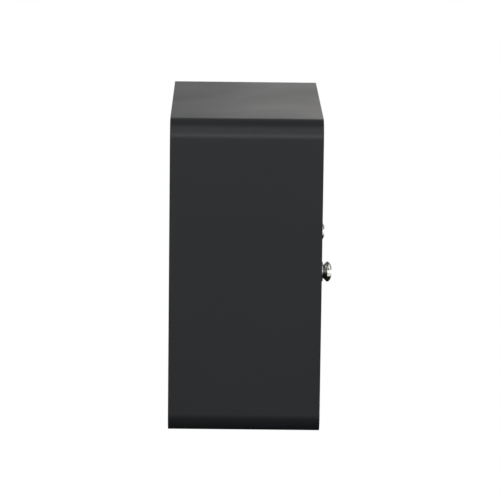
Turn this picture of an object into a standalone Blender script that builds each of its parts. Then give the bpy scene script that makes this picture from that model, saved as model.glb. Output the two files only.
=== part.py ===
"""Wall mounted twin soap dispenser: a square-fronted steel cabinet with two push buttons.

Metres, +Z up. The front faces -Y and the wall is the plane y = 0. The origin is the centre of
the wall face. Left is -X and right is +X, as seen by a person who faces the front.
"""

import math

import bmesh
import bpy
from mathutils import Matrix, Vector

# ---- driving dimensions of the cabinet ----
WIDTH = 0.300
HEIGHT = 0.300
DEPTH = 0.1442
SHEET = 0.0015
CORNER = 0.0177
GAP = 0.0003
FRONT = -DEPTH

# ---- door ----
OPENING_HALF_WIDTH = 0.088
OPENING_HALF_HEIGHT = 0.125
OPENING_CORNER = 0.005
DOOR_GAP = 0.0015
DOOR_RETURN = 0.010
PIVOT = Vector((0.0725, FRONT + 0.0055, 0.0))
PIVOT_PIN_RADIUS = 0.002
WINDOW_X = 0.042
WINDOW_Z = -0.015
WINDOW_SLOT = (0.005, 0.060)
WINDOW_RIB = (0.0047, 0.0597)
WINDOW_FLANGE = (0.009, 0.064)
BRACKET_THICKNESS = 0.002

# ---- lock ----
LOCK = Vector((-0.070, FRONT, 0.060))
LOCK_BODY_RADIUS = 0.008
LOCK_BODY_DEPTH = 0.0165
LOCK_PLUG_RADIUS = 0.005
LOCK_FLANGE_RADIUS = 0.0095
LOCK_NUT_RADIUS = 0.0115
PLUG_END = LOCK_BODY_DEPTH + 0.0015
KEYWAY_HALF = (0.0008, 0.0032)
CAM_REACH = 0.024
CAM_HALF_WIDTH = 0.006
CAM_THICKNESS = 0.002

# ---- push units: the depth along each is measured back from the front face ----
BUTTON_X = 0.1105
BUTTON_RIM = 0.00965
BUTTON_COLLAR = 0.0095
BUTTON_NECK = 0.0065
BUTTON_TIP_DEPTH = -0.0106
BUTTON_RIM_DEPTH = -0.0062
SLOT_WIDTH = 0.0058
SLOT_DEPTH = 0.0044
GUIDE_BORE = 0.0099
GUIDE_END = 0.012
BUSH_RADIUS = 0.013
BUSH_RIM = 0.015
BUSH_NUT_RADIUS = 0.0175
PUMP_RADIUS = 0.015
PUMP_BORE = 0.012
PUMP_START = 0.0283
PUMP_WALL = 0.086
PUMP_END = 0.093
SPIGOT_END = 0.105
STEM_RADIUS = 0.004
PISTON_FACE = 0.0365
PISTON_LENGTH = 0.010
GROOVE_RADIUS = 0.0094
SPRING_TURNS = 6
COIL_RADIUS = 0.0085
SPRING_WIRE = 0.0009
PORT_DEPTH = 0.080
PORT_RADIUS = 0.005
PORT_BORE = 0.0025
PORT_DROP = 0.026

# ---- tanks ----
TANK_X = 0.042
TANK_Y = -0.074
TANK_HALF_WIDTH = 0.038
TANK_HALF_DEPTH = 0.044
TANK_BOTTOM = -0.100
TANK_TOP = 0.080
TANK_WALL = 0.0025
TANK_CORNER = 0.010
MOUTH_Y = -0.094
MOUTH_HALF_WIDTH = 0.024
MOUTH_HALF_DEPTH = 0.016
MOUTH_CORNER = 0.007
MOUTH_TOP = 0.090
LID_HINGE_Y = -0.071
LID_HINGE_Z = 0.088
LID_PIN_RADIUS = 0.0015
TANK_PORT_Y = -0.048
TANK_PORT_Z = -0.086
TANK_PORT_END = 0.092

# ---- outlets and hoses ----
NOZZLE_Y = -0.080
NOZZLE_THREAD = 0.0069
NOZZLE_LIP = -0.0040
NOZZLE_BARB_END = 0.024
NOZZLE_NUT_RADIUS = 0.0115
FEED_HOSE_RADIUS = 0.0045
DELIVERY_HOSE_RADIUS = 0.004

# ---- fixings ----
WALL_HOLE_X = 0.060
WALL_HOLE_Z = 0.122
WALL_HOLE_RADIUS = 0.00325
SHELF_SCREW_Z = -0.107
SHELF_SCREW_X = (-0.078, -0.026, 0.026, 0.078)
SHELF_HALF_WIDTH = 0.086
SCREW_RADIUS = 0.002

SIDES = (("left", -1), ("right", 1))
ROUND = 18
SMALL_ROUND = 12


# ---- helpers ----

def clear_scene():
    for obj in list(bpy.data.objects):
        bpy.data.objects.remove(obj, do_unlink=True)


def finish(name, color, metallic, roughness, alpha=1.0):
    """A Principled material of one colour."""
    material = bpy.data.materials.new(name)
    material.use_nodes = True
    shader = material.node_tree.nodes["Principled BSDF"]
    shader.inputs["Base Color"].default_value = (*color, 1.0)
    shader.inputs["Metallic"].default_value = metallic
    shader.inputs["Roughness"].default_value = roughness
    shader.inputs["Alpha"].default_value = alpha
    return material


def add_mesh(name, bm, material, smooth=True):
    bmesh.ops.remove_doubles(bm, verts=bm.verts, dist=1e-7)
    bmesh.ops.recalc_face_normals(bm, faces=bm.faces)
    mesh = bpy.data.meshes.new(name)
    bm.to_mesh(mesh)
    bm.free()
    if smooth:
        mesh.shade_smooth()
        mesh.set_sharp_from_angle(angle=math.radians(35))
    if material:
        mesh.materials.append(material)
    obj = bpy.data.objects.new(name, mesh)
    bpy.context.scene.collection.objects.link(obj)
    return obj


def along(axis, at, a, b, t):
    """The world point at (a, b) across the axis and t along it, counted from the point at."""
    offsets = {"X": (t, a, b), "Y": (a, t, b), "Z": (a, b, t)}
    return Vector(at) + Vector(offsets[axis])


def circle(radius, steps=ROUND, center=(0.0, 0.0)):
    angles = [2 * math.pi * i / steps for i in range(steps)]
    return [(center[0] + radius * math.cos(a), center[1] + radius * math.sin(a)) for a in angles]


def rounded(half_a, half_b, radius, center=(0.0, 0.0), steps=6):
    """A rectangle with rounded corners, anticlockwise, steps + 1 points on each corner."""
    points = []
    for quarter, (sign_a, sign_b) in enumerate(((1, 1), (-1, 1), (-1, -1), (1, -1))):
        corner_a = center[0] + sign_a * (half_a - radius)
        corner_b = center[1] + sign_b * (half_b - radius)
        for i in range(steps + 1):
            angle = math.pi / 2 * (quarter + i / steps)
            points.append((corner_a + radius * math.cos(angle), corner_b + radius * math.sin(angle)))
    return points


def rectangle(low_a, low_b, high_a, high_b):
    return [(low_a, low_b), (high_a, low_b), (high_a, high_b), (low_a, high_b)]


def skin(name, rings, material, closed=False):
    """A surface through rings of equal point count, capped at both ends or closed on itself."""
    bm = bmesh.new()
    loops = [[bm.verts.new(point) for point in ring] for ring in rings]
    count = len(loops[0])
    pairs = list(zip(loops, loops[1:]))
    if closed:
        pairs.append((loops[-1], loops[0]))
    else:
        bm.faces.new(loops[0])
        bm.faces.new(loops[-1])
    for low, high in pairs:
        for i in range(count):
            j = (i + 1) % count
            bm.faces.new((low[i], low[j], high[j], high[i]))
    return add_mesh(name, bm, material)


def turned(name, profile, at, axis, material, steps=ROUND, bored=False):
    """A turned piece: (radius, distance along the axis) pairs, with a bore through it or solid."""
    rings = [[along(axis, at, a, b, t) for a, b in circle(r, steps)] for r, t in profile]
    return skin(name, rings, material, closed=bored)


def extruded(name, outlines, low, high, axis, material, at=(0, 0, 0)):
    """A flat outline, the later outlines being holes in it, pushed from low to high on the axis."""
    curve = bpy.data.curves.new(name, "CURVE")
    curve.dimensions = "2D"
    curve.fill_mode = "BOTH"
    curve.extrude = (high - low) / 2
    for outline in outlines:
        spline = curve.splines.new("POLY")
        spline.points.add(len(outline) - 1)
        for point, (a, b) in zip(spline.points, outline):
            point.co = (a, b, 0.0, 1.0)
        spline.use_cyclic_u = True
    holder = bpy.data.objects.new(name + "_outline", curve)
    bpy.context.scene.collection.objects.link(holder)
    bm = mesh_of(holder)
    for vert in bm.verts:
        a, b, t = vert.co
        vert.co = along(axis, at, a, b, t + (high + low) / 2)
    return add_mesh(name, bm, material)


def mesh_of(holder):
    """The evaluated mesh of a curve object, which is removed."""
    graph = bpy.context.evaluated_depsgraph_get()
    mesh = bpy.data.meshes.new_from_object(holder.evaluated_get(graph))
    bpy.data.objects.remove(holder, do_unlink=True)
    bm = bmesh.new()
    bm.from_mesh(mesh)
    bpy.data.meshes.remove(mesh)
    return bm


def wire(name, points, radius, material, resolution=2, kind="POLY"):
    """A round bar along points, with closed ends."""
    curve = bpy.data.curves.new(name, "CURVE")
    curve.dimensions = "3D"
    curve.bevel_depth = radius
    curve.bevel_resolution = resolution
    curve.use_fill_caps = True
    spline = curve.splines.new(kind)
    spline.points.add(len(points) - 1)
    for point, co in zip(spline.points, points):
        point.co = (*co, 1.0)
    if kind == "NURBS":
        spline.use_endpoint_u = True
        spline.order_u = 3
        curve.resolution_u = 4
    holder = bpy.data.objects.new(name + "_path", curve)
    bpy.context.scene.collection.objects.link(holder)
    return add_mesh(name, mesh_of(holder), material)


def boolean(obj, other, operation):
    other.hide_render = True
    other.display_type = "WIRE"
    modifier = obj.modifiers.new(other.name, "BOOLEAN")
    modifier.operation = operation
    modifier.object = other
    modifier.solver = "EXACT"


def box(name, low, high, material=None):
    outline = rectangle(low[0], low[1], high[0], high[1])
    return extruded(name, [outline], low[2], high[2], "Z", material)


def pivot(name, at, parent=None):
    """An empty on a joint's axis."""
    empty = bpy.data.objects.new(name, None)
    bpy.context.scene.collection.objects.link(empty)
    empty.parent = parent
    empty.location = Vector(at) - (parent.location if parent else Vector())
    empty["at"] = tuple(at)
    return empty


def hang(empty, objects):
    """Hangs objects on a joint's empty without moving them."""
    shift = Matrix.Translation(-Vector(empty["at"]))
    for obj in objects:
        obj.data.transform(shift)
        obj.parent = empty


clear_scene()

# ---- materials ----
BLACK_STEEL = finish("powder_coated_steel", (0.028, 0.030, 0.032), 0.0, 0.55)
ZINC_STEEL = finish("zinc_plated_steel", (0.55, 0.56, 0.58), 1.0, 0.35)
POLISHED = finish("polished_steel", (0.72, 0.72, 0.71), 1.0, 0.08)
BRASS = finish("nickel_plated_brass", (0.60, 0.58, 0.52), 1.0, 0.25)
TANK_PLASTIC = finish("tank_polyethylene", (0.82, 0.84, 0.83), 0.0, 0.45, 0.7)
LID_PLASTIC = finish("lid_plastic", (0.10, 0.11, 0.12), 0.0, 0.5)
PUMP_PLASTIC = finish("pump_acetal", (0.86, 0.86, 0.84), 0.0, 0.4)
RUBBER = finish("seal_rubber", (0.02, 0.02, 0.02), 0.0, 0.8)
HOSE_VINYL = finish("hose_vinyl", (0.75, 0.78, 0.78), 0.0, 0.3, 0.6)
SPRING_STEEL = finish("spring_steel", (0.62, 0.62, 0.63), 1.0, 0.2)
CLEAR_PLASTIC = finish("window_acrylic", (0.80, 0.85, 0.88), 0.0, 0.05, 0.4)


# ---- cabinet ----

def build_casing():
    """A welded sleeve of sheet steel, open at the wall and at the front, with two outlet holes."""
    half_width = WIDTH / 2
    half_height = HEIGHT / 2
    outside = rounded(half_width, half_height, CORNER, steps=10)
    inside = rounded(half_width - SHEET, half_height - SHEET, CORNER - SHEET, steps=10)
    casing = extruded("casing", [outside, inside], FRONT, 0.0, "Y", BLACK_STEEL)
    for side, sign in SIDES:
        at = (sign * BUTTON_X, NOZZLE_Y, -half_height)
        profile = [(NOZZLE_THREAD + GAP, -0.005), (NOZZLE_THREAD + GAP, 0.005)]
        hole = turned(side + "_outlet_hole", profile, at, "Z", None)
        boolean(casing, hole, "DIFFERENCE")


def inner_outline(gap):
    half_width = WIDTH / 2 - SHEET - gap
    half_height = HEIGHT / 2 - SHEET - gap
    return rounded(half_width, half_height, CORNER - SHEET - gap, steps=10)


def build_front_panel():
    """The fixed front, welded flush in the sleeve, with the door opening and two bush holes."""
    outlines = [
        inner_outline(GAP),
        rounded(OPENING_HALF_WIDTH, OPENING_HALF_HEIGHT, OPENING_CORNER),
    ]
    for _, sign in SIDES:
        outlines.append(circle(BUSH_RADIUS + GAP, center=(sign * BUTTON_X, 0.0)))
    extruded("front_panel", outlines, FRONT, FRONT + SHEET, "Y", BLACK_STEEL)


def build_back_plate():
    """The plate against the wall, with four wall holes and the holes of the shelf screws."""
    outlines = [inner_outline(GAP)]
    for x in (-WALL_HOLE_X, WALL_HOLE_X):
        for z in (-WALL_HOLE_Z, WALL_HOLE_Z):
            outlines.append(circle(WALL_HOLE_RADIUS, SMALL_ROUND, (x, z)))
    for x in SHELF_SCREW_X:
        outlines.append(circle(SCREW_RADIUS + GAP, SMALL_ROUND, (x, SHELF_SCREW_Z)))
    extruded("back_plate", outlines, -SHEET, 0.0, "Y", ZINC_STEEL)


def build_shelf():
    """A folded shelf under both tanks: a flange on the back plate and a lip along the front."""
    top = TANK_BOTTOM - GAP
    front = TANK_Y - TANK_HALF_DEPTH - 0.002
    back = -SHEET - GAP
    flange_foot = SHELF_SCREW_Z - 0.006
    lip_top = TANK_BOTTOM + 0.008
    profile = [
        (back, flange_foot),
        (back, top),
        (front, top),
        (front, lip_top),
        (front - SHEET, lip_top),
        (front - SHEET, top - SHEET),
        (back - SHEET, top - SHEET),
        (back - SHEET, flange_foot),
    ]
    shelf = extruded("tank_shelf", [profile], -SHELF_HALF_WIDTH, SHELF_HALF_WIDTH, "X", ZINC_STEEL)
    for i, x in enumerate(SHELF_SCREW_X):
        at = (x, back, SHELF_SCREW_Z)
        bore = [(SCREW_RADIUS + GAP, -0.004), (SCREW_RADIUS + GAP, 0.004)]
        hole = turned("shelf_hole_%d" % i, bore, at, "Y", None, steps=SMALL_ROUND)
        boolean(shelf, hole, "DIFFERENCE")


def build_shelf_screws():
    """Four pan-head screws through the shelf's flange into the back plate."""
    head_face = -2 * SHEET - 2 * GAP
    profile = [
        (0.0036, head_face - 0.0024),
        (0.0040, head_face - 0.0018),
        (0.0040, head_face),
        (SCREW_RADIUS, head_face),
        (SCREW_RADIUS, -GAP),
    ]
    for i, x in enumerate(SHELF_SCREW_X, start=1):
        at = (x, 0.0, SHELF_SCREW_Z)
        turned("shelf_screw_%d" % i, profile, at, "Y", ZINC_STEEL, steps=SMALL_ROUND)


# ---- door, hinge and lock ----

def build_door():
    """A folded tray that fills the opening, with pivot, lock and window holes."""
    half_width = OPENING_HALF_WIDTH - DOOR_GAP
    half_height = OPENING_HALF_HEIGHT - DOOR_GAP
    corner = OPENING_CORNER - DOOR_GAP
    back = FRONT + DOOR_RETURN
    rings = []
    for inset, y in ((0.0, FRONT), (0.0, back), (SHEET, back), (SHEET, FRONT + SHEET)):
        outline = rounded(half_width - inset, half_height - inset, corner - inset)
        rings.append([Vector((a, y, b)) for a, b in outline])
    door = skin("door_panel", rings, BLACK_STEEL)
    pin_bore = PIVOT_PIN_RADIUS + GAP
    for name, end in (("top", 1), ("bottom", -1)):
        profile = [(pin_bore, end * 0.115), (pin_bore, end * 0.130)]
        hole = turned(name + "_pivot_hole", profile, PIVOT, "Z", None, steps=SMALL_ROUND)
        boolean(door, hole, "DIFFERENCE")
    profile = [(LOCK_BODY_RADIUS + GAP, -0.005), (LOCK_BODY_RADIUS + GAP, 0.005)]
    boolean(door, turned("lock_hole", profile, LOCK, "Y", None), "DIFFERENCE")
    for side, sign in SIDES:
        outline = rounded(*WINDOW_SLOT, 0.0048, center=(sign * WINDOW_X, WINDOW_Z))
        slot = extruded(side + "_window_slot", [outline], FRONT - 0.005, FRONT + 0.005, "Y", None)
        boolean(door, slot, "DIFFERENCE")
    return door


def build_window(side, sign):
    """A clear strip: a flange behind the door and a raised rib that fills the slot."""
    center = (sign * WINDOW_X, WINDOW_Z)
    back = FRONT + SHEET + GAP + 0.002
    step = FRONT + SHEET + GAP
    rib_face = FRONT + 0.0004
    rings = []
    for half_sizes, corner, y in (
        (WINDOW_FLANGE, 0.003, back),
        (WINDOW_FLANGE, 0.003, step),
        (WINDOW_RIB, 0.0045, step),
        (WINDOW_RIB, 0.0045, rib_face),
    ):
        outline = rounded(*half_sizes, corner, center)
        rings.append([Vector((a, y, b)) for a, b in outline])
    return skin(side + "_sight_window", rings, CLEAR_PLASTIC)


def build_hinge_bracket(name, end):
    """An angle behind the front panel whose tab carries one pivot pin past the door's edge."""
    leg_face = FRONT + SHEET + GAP
    tab_near = OPENING_HALF_HEIGHT - DOOR_GAP + 0.0005
    leg_end = tab_near + 0.016
    tab_far = tab_near + BRACKET_THICKNESS
    tab_end = PIVOT.y + 0.007
    profile = [
        (leg_face, end * tab_near),
        (leg_face, end * leg_end),
        (leg_face + BRACKET_THICKNESS, end * leg_end),
        (leg_face + BRACKET_THICKNESS, end * tab_far),
        (tab_end, end * tab_far),
        (tab_end, end * tab_near),
    ]
    half_width = 0.0085
    low = PIVOT.x - half_width
    high = PIVOT.x + half_width
    bracket = extruded(name + "_hinge_bracket", [profile], low, high, "X", ZINC_STEEL)
    bore = PIVOT_PIN_RADIUS + GAP
    ends = sorted((end * (tab_near - 0.002), end * (tab_near + 0.006)))
    hole = turned(name + "_bracket_hole", [(bore, t) for t in ends], PIVOT, "Z", None, SMALL_ROUND)
    boolean(bracket, hole, "DIFFERENCE")


def build_hinge_pins():
    """Two headed pivot pins, one through each end of the door tray into its bracket."""
    under_return = OPENING_HALF_HEIGHT - DOOR_GAP - SHEET - GAP
    profile = [
        (0.0032, under_return - 0.0018),
        (0.0032, under_return),
        (PIVOT_PIN_RADIUS, under_return),
        (PIVOT_PIN_RADIUS, under_return + 0.0062),
    ]
    pins = []
    for name, end in (("top", 1), ("bottom", -1)):
        turned_profile = [(radius, end * t) for radius, t in profile]
        pin = turned(name + "_hinge_pin", turned_profile, PIVOT, "Z", ZINC_STEEL, steps=SMALL_ROUND)
        pins.append(pin)
    return pins


def build_lock():
    """A cam lock: barrel and nut on the door, and a plug that turns the cam behind it."""
    barrel_profile = [
        (LOCK_FLANGE_RADIUS, -0.0013),
        (LOCK_FLANGE_RADIUS, -GAP),
        (LOCK_BODY_RADIUS, -GAP),
        (LOCK_BODY_RADIUS, LOCK_BODY_DEPTH),
        (LOCK_PLUG_RADIUS + GAP, LOCK_BODY_DEPTH),
        (LOCK_PLUG_RADIUS + GAP, -0.0013),
    ]
    barrel = turned("lock_barrel", barrel_profile, LOCK, "Y", BRASS, bored=True)
    nut_outline = [circle(LOCK_NUT_RADIUS, 6), circle(LOCK_BODY_RADIUS + GAP)]
    nut_low = SHEET + GAP
    nut = extruded("lock_nut", nut_outline, nut_low, nut_low + 0.003, "Y", BRASS, LOCK)
    plug_profile = [(LOCK_PLUG_RADIUS, -0.0010), (LOCK_PLUG_RADIUS, PLUG_END)]
    plug = turned("lock_plug", plug_profile, LOCK, "Y", BRASS)
    half_width, half_height = KEYWAY_HALF
    keyway = box(
        "keyway",
        (LOCK.x - half_width, FRONT - 0.004, LOCK.z - half_height),
        (LOCK.x + half_width, FRONT + 0.010, LOCK.z + half_height),
    )
    boolean(plug, keyway, "DIFFERENCE")
    screw_bore = [
        (SCREW_RADIUS + GAP, LOCK_BODY_DEPTH - 0.005),
        (SCREW_RADIUS + GAP, LOCK_BODY_DEPTH + 0.010),
    ]
    boolean(plug, turned("plug_tapping", screw_bore, LOCK, "Y", None, SMALL_ROUND), "DIFFERENCE")
    cam_low = PLUG_END + GAP
    cam_high = cam_low + CAM_THICKNESS
    reach_center = (0.0, -(CAM_REACH - CAM_HALF_WIDTH) / 2)
    blade = rounded(CAM_HALF_WIDTH, (CAM_REACH + CAM_HALF_WIDTH) / 2, 0.0055, reach_center)
    cam_outline = [blade, circle(SCREW_RADIUS + GAP, SMALL_ROUND)]
    cam = extruded("lock_cam", cam_outline, cam_low, cam_high, "Y", ZINC_STEEL, LOCK)
    head = cam_high + GAP
    screw_profile = [
        (SCREW_RADIUS, LOCK_BODY_DEPTH - 0.0045),
        (SCREW_RADIUS, head),
        (0.0035, head),
        (0.0033, head + 0.0015),
    ]
    screw = turned("cam_screw", screw_profile, LOCK, "Y", ZINC_STEEL, steps=SMALL_ROUND)
    return [barrel, nut], [plug, cam, screw]


def build_lock_catch():
    """A joggled keeper behind the front panel, whose lip the cam turns behind."""
    foot = FRONT + SHEET + GAP
    lip = FRONT + LOCK_BODY_DEPTH + 0.0005
    profile = [
        (-0.1120, foot),
        (-0.0970, foot),
        (-0.0970, lip - SHEET),
        (-0.0900, lip - SHEET),
        (-0.0900, lip),
        (-0.0985, lip),
        (-0.0985, foot + SHEET),
        (-0.1120, foot + SHEET),
    ]
    extruded("lock_catch", [profile], LOCK.z - 0.011, LOCK.z + 0.011, "Z", ZINC_STEEL)


# ---- push units ----

def build_button(side, at):
    """A mushroom head with a coin slot, a thin collar and a guide that slides in the bush."""
    crown = math.radians(75)
    rise = (BUTTON_TIP_DEPTH - BUTTON_RIM_DEPTH) / math.sin(crown)
    dome = []
    for i in range(5):
        angle = crown * (1 - i / 4)
        dome.append((BUTTON_RIM * math.cos(angle), BUTTON_RIM_DEPTH + rise * math.sin(angle)))
    body = [
        (BUTTON_RIM, BUTTON_RIM_DEPTH + 0.0006),
        (BUTTON_NECK, -0.0023),
        (BUTTON_COLLAR - 0.0003, -0.0019),
        (BUTTON_COLLAR, -0.0015),
        (BUTTON_COLLAR, GUIDE_END),
    ]
    button = turned(side + "_button", dome + body, at, "Y", POLISHED, steps=24)
    slot = box(
        side + "_coin_slot",
        (at.x - 0.02, at.y + BUTTON_TIP_DEPTH - 0.01, -SLOT_WIDTH / 2),
        (at.x + 0.02, at.y + BUTTON_TIP_DEPTH + SLOT_DEPTH, SLOT_WIDTH / 2),
    )
    boolean(button, slot, "DIFFERENCE")
    return button


def build_bush(side, at):
    """The sleeve that guides the button, clamped in the front panel and closed at its back."""
    profile = [
        (GUIDE_BORE, -0.0009),
        (BUSH_RIM, -0.0009),
        (BUSH_RIM, -GAP),
        (BUSH_RADIUS, -GAP),
        (BUSH_RADIUS, PUMP_START - GAP),
        (PUMP_BORE - GAP, PUMP_START - GAP),
        (PUMP_BORE - GAP, 0.036),
        (STEM_RADIUS + GAP, 0.036),
        (STEM_RADIUS + GAP, 0.033),
        (GUIDE_BORE, 0.033),
    ]
    turned(side + "_button_bush", profile, at, "Y", BRASS, bored=True)
    outlines = [circle(BUSH_NUT_RADIUS, 6), circle(BUSH_RADIUS + GAP)]
    low = SHEET + GAP
    extruded(side + "_bush_nut", outlines, low, low + 0.005, "Y", BRASS, at)


def build_pump(side, at):
    """The pump cylinder: open at the bush, with a feed spigot behind and an outlet spigot below."""
    profile = [
        (PUMP_BORE, PUMP_START),
        (PUMP_RADIUS, PUMP_START),
        (PUMP_RADIUS, PUMP_END),
        (PORT_RADIUS, PUMP_END),
        (PORT_RADIUS, SPIGOT_END),
        (PORT_BORE, SPIGOT_END),
        (PORT_BORE, PUMP_WALL),
        (PUMP_BORE, PUMP_WALL),
    ]
    pump = turned(side + "_pump_body", profile, at, "Y", PUMP_PLASTIC, bored=True)
    port = at + Vector((0.0, PORT_DEPTH, 0.0))
    spigot_profile = [(PORT_RADIUS, -PORT_DROP), (PORT_RADIUS, -0.0135)]
    spigot = turned(side + "_outlet_spigot", spigot_profile, port, "Z", None, SMALL_ROUND)
    boolean(pump, spigot, "UNION")
    bore_profile = [(PORT_BORE, -PORT_DROP - 0.005), (PORT_BORE, -0.006)]
    boolean(pump, turned(side + "_outlet_bore", bore_profile, port, "Z", None, SMALL_ROUND), "DIFFERENCE")
    valve_profile = [
        (0.0048, PUMP_WALL - GAP),
        (0.0048, PUMP_WALL - 0.0020),
        (0.0030, PUMP_WALL - 0.0024),
        (0.0008, PUMP_WALL - 0.0090),
    ]
    turned(side + "_inlet_valve", valve_profile[::-1], at, "Y", RUBBER, steps=SMALL_ROUND)


def build_plunger(side, at):
    """The stem, the piston on its end and the ring seal in the piston's groove."""
    face = PISTON_FACE
    stem_profile = [(STEM_RADIUS, GUIDE_END + GAP), (STEM_RADIUS, face - GAP)]
    stem = turned(side + "_stem", stem_profile, at, "Y", ZINC_STEEL, steps=SMALL_ROUND)
    radius = PUMP_BORE - 0.0004
    piston_profile = [
        (radius, face),
        (radius, face + 0.0034),
        (GROOVE_RADIUS, face + 0.0034),
        (GROOVE_RADIUS, face + 0.0066),
        (radius, face + 0.0066),
        (radius, face + PISTON_LENGTH),
    ]
    piston = turned(side + "_piston", piston_profile, at, "Y", PUMP_PLASTIC)
    seal_profile = [
        (GROOVE_RADIUS + GAP, face + 0.0038),
        (PUMP_BORE - 0.0002, face + 0.0042),
        (PUMP_BORE - 0.0002, face + 0.0058),
        (GROOVE_RADIUS + GAP, face + 0.0062),
    ]
    seal = turned(side + "_piston_seal", seal_profile, at, "Y", RUBBER, bored=True)
    return [stem, piston, seal]


def build_return_spring(side, at):
    """An open coil between the piston and the back wall of the pump chamber."""
    steps = 10
    low = PISTON_FACE + PISTON_LENGTH + GAP + SPRING_WIRE
    high = PUMP_WALL - GAP - SPRING_WIRE
    points = []
    for i in range(SPRING_TURNS * steps + 1):
        part = i / (SPRING_TURNS * steps)
        angle = 2 * math.pi * i / steps
        a = COIL_RADIUS * math.cos(angle)
        b = COIL_RADIUS * math.sin(angle)
        points.append(along("Y", at, a, b, low + (high - low) * part))
    wire(side + "_return_spring", points, SPRING_WIRE, SPRING_STEEL, resolution=0)


def build_outlet(side, sign):
    """The nozzle under the cabinet with its nut, its drip valve and the hose from the pump."""
    x = sign * BUTTON_X
    at = Vector((x, NOZZLE_Y, -HEIGHT / 2))
    profile = [
        (0.0046, NOZZLE_LIP),
        (0.0062, NOZZLE_LIP),
        (0.0065, -0.0021),
        (0.0095, -0.0021),
        (0.0095, -GAP),
        (NOZZLE_THREAD, -GAP),
        (NOZZLE_THREAD, 0.013),
        (0.0042, 0.013),
        (0.0042, NOZZLE_BARB_END),
        (0.0022, NOZZLE_BARB_END),
        (0.0022, 0.001),
        (0.0046, 0.001),
    ]
    turned(side + "_nozzle", profile, at, "Z", PUMP_PLASTIC, bored=True)
    outlines = [circle(NOZZLE_NUT_RADIUS, 6), circle(NOZZLE_THREAD + GAP)]
    low = SHEET + GAP
    extruded(side + "_nozzle_nut", outlines, low, low + 0.005, "Z", PUMP_PLASTIC, at)
    valve_profile = [(0.0008, -0.0036), (0.0030, -0.0012), (0.0043, -0.0010), (0.0043, 0.0007)]
    turned(side + "_drip_valve", valve_profile, at, "Z", RUBBER, steps=SMALL_ROUND)
    pump_end = -PORT_DROP - GAP
    nozzle_end = -HEIGHT / 2 + NOZZLE_BARB_END + GAP
    pump_y = FRONT + PORT_DEPTH
    points = [
        (x, pump_y, pump_end),
        (x, pump_y, pump_end - 0.018),
        (x, pump_y - 0.004, -0.065),
        (x, NOZZLE_Y + 0.004, -0.090),
        (x, NOZZLE_Y, nozzle_end + 0.016),
        (x, NOZZLE_Y, nozzle_end),
    ]
    wire(side + "_delivery_hose", points, DELIVERY_HOSE_RADIUS, HOSE_VINYL, kind="NURBS")


# ---- tanks ----

def tank_rings(x):
    """The outline of a bottle with a flat deck and a raised mouth, outside and then inside."""
    wall = TANK_WALL
    body = (TANK_HALF_WIDTH, TANK_HALF_DEPTH, TANK_CORNER, TANK_Y)
    mouth = (MOUTH_HALF_WIDTH, MOUTH_HALF_DEPTH, MOUTH_CORNER, MOUTH_Y)
    levels = (
        (body, 0.003, TANK_BOTTOM),
        (body, 0.0, TANK_BOTTOM + 0.003),
        (body, 0.0, TANK_TOP - 0.003),
        (body, 0.003, TANK_TOP),
        (mouth, 0.0, TANK_TOP),
        (mouth, 0.0, MOUTH_TOP),
        (mouth, wall, MOUTH_TOP),
        (mouth, wall, TANK_TOP - wall),
        (body, wall, TANK_TOP - wall - 0.002),
        (body, wall, TANK_BOTTOM + wall + 0.002),
        (body, wall + 0.002, TANK_BOTTOM + wall),
    )
    rings = []
    for (half_width, half_depth, corner, y), inset, z in levels:
        outline = rounded(half_width - inset, half_depth - inset, corner - inset, (x, y), steps=4)
        rings.append([Vector((a, b, z)) for a, b in outline])
    return rings


def build_tank(side, sign):
    """A blow-moulded tank with a filler mouth, lid lugs and a feed spigot on its outer side."""
    x = sign * TANK_X
    tank = skin(side + "_tank", tank_rings(x), TANK_PLASTIC)
    for name, offset in (("inner", -1), ("outer", 1)):
        near = x + offset * 0.0085
        far = x + offset * 0.0120
        outline = rounded(0.0035, 0.0065, 0.0030, (LID_HINGE_Y, TANK_TOP + 0.0053), steps=4)
        lug = extruded(side + "_" + name + "_lug", [outline], min(near, far), max(near, far), "X", None)
        boolean(tank, lug, "UNION")
    profile = [(LID_PIN_RADIUS + GAP, -0.020), (LID_PIN_RADIUS + GAP, 0.020)]
    hinge = (x, LID_HINGE_Y, LID_HINGE_Z)
    boolean(tank, turned(side + "_lug_bore", profile, hinge, "X", None, SMALL_ROUND), "DIFFERENCE")
    port = (0.0, TANK_PORT_Y, TANK_PORT_Z)
    wall_inside = TANK_X + TANK_HALF_WIDTH - TANK_WALL / 2
    ends = sorted((sign * wall_inside, sign * TANK_PORT_END))
    spigot = turned(side + "_tank_spigot", [(PORT_RADIUS, t) for t in ends], port, "X", None, SMALL_ROUND)
    boolean(tank, spigot, "UNION")
    ends = sorted((sign * (wall_inside - 0.004), sign * (TANK_PORT_END + 0.004)))
    bore = turned(side + "_tank_bore", [(PORT_BORE, t) for t in ends], port, "X", None, SMALL_ROUND)
    boolean(tank, bore, "DIFFERENCE")


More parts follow.
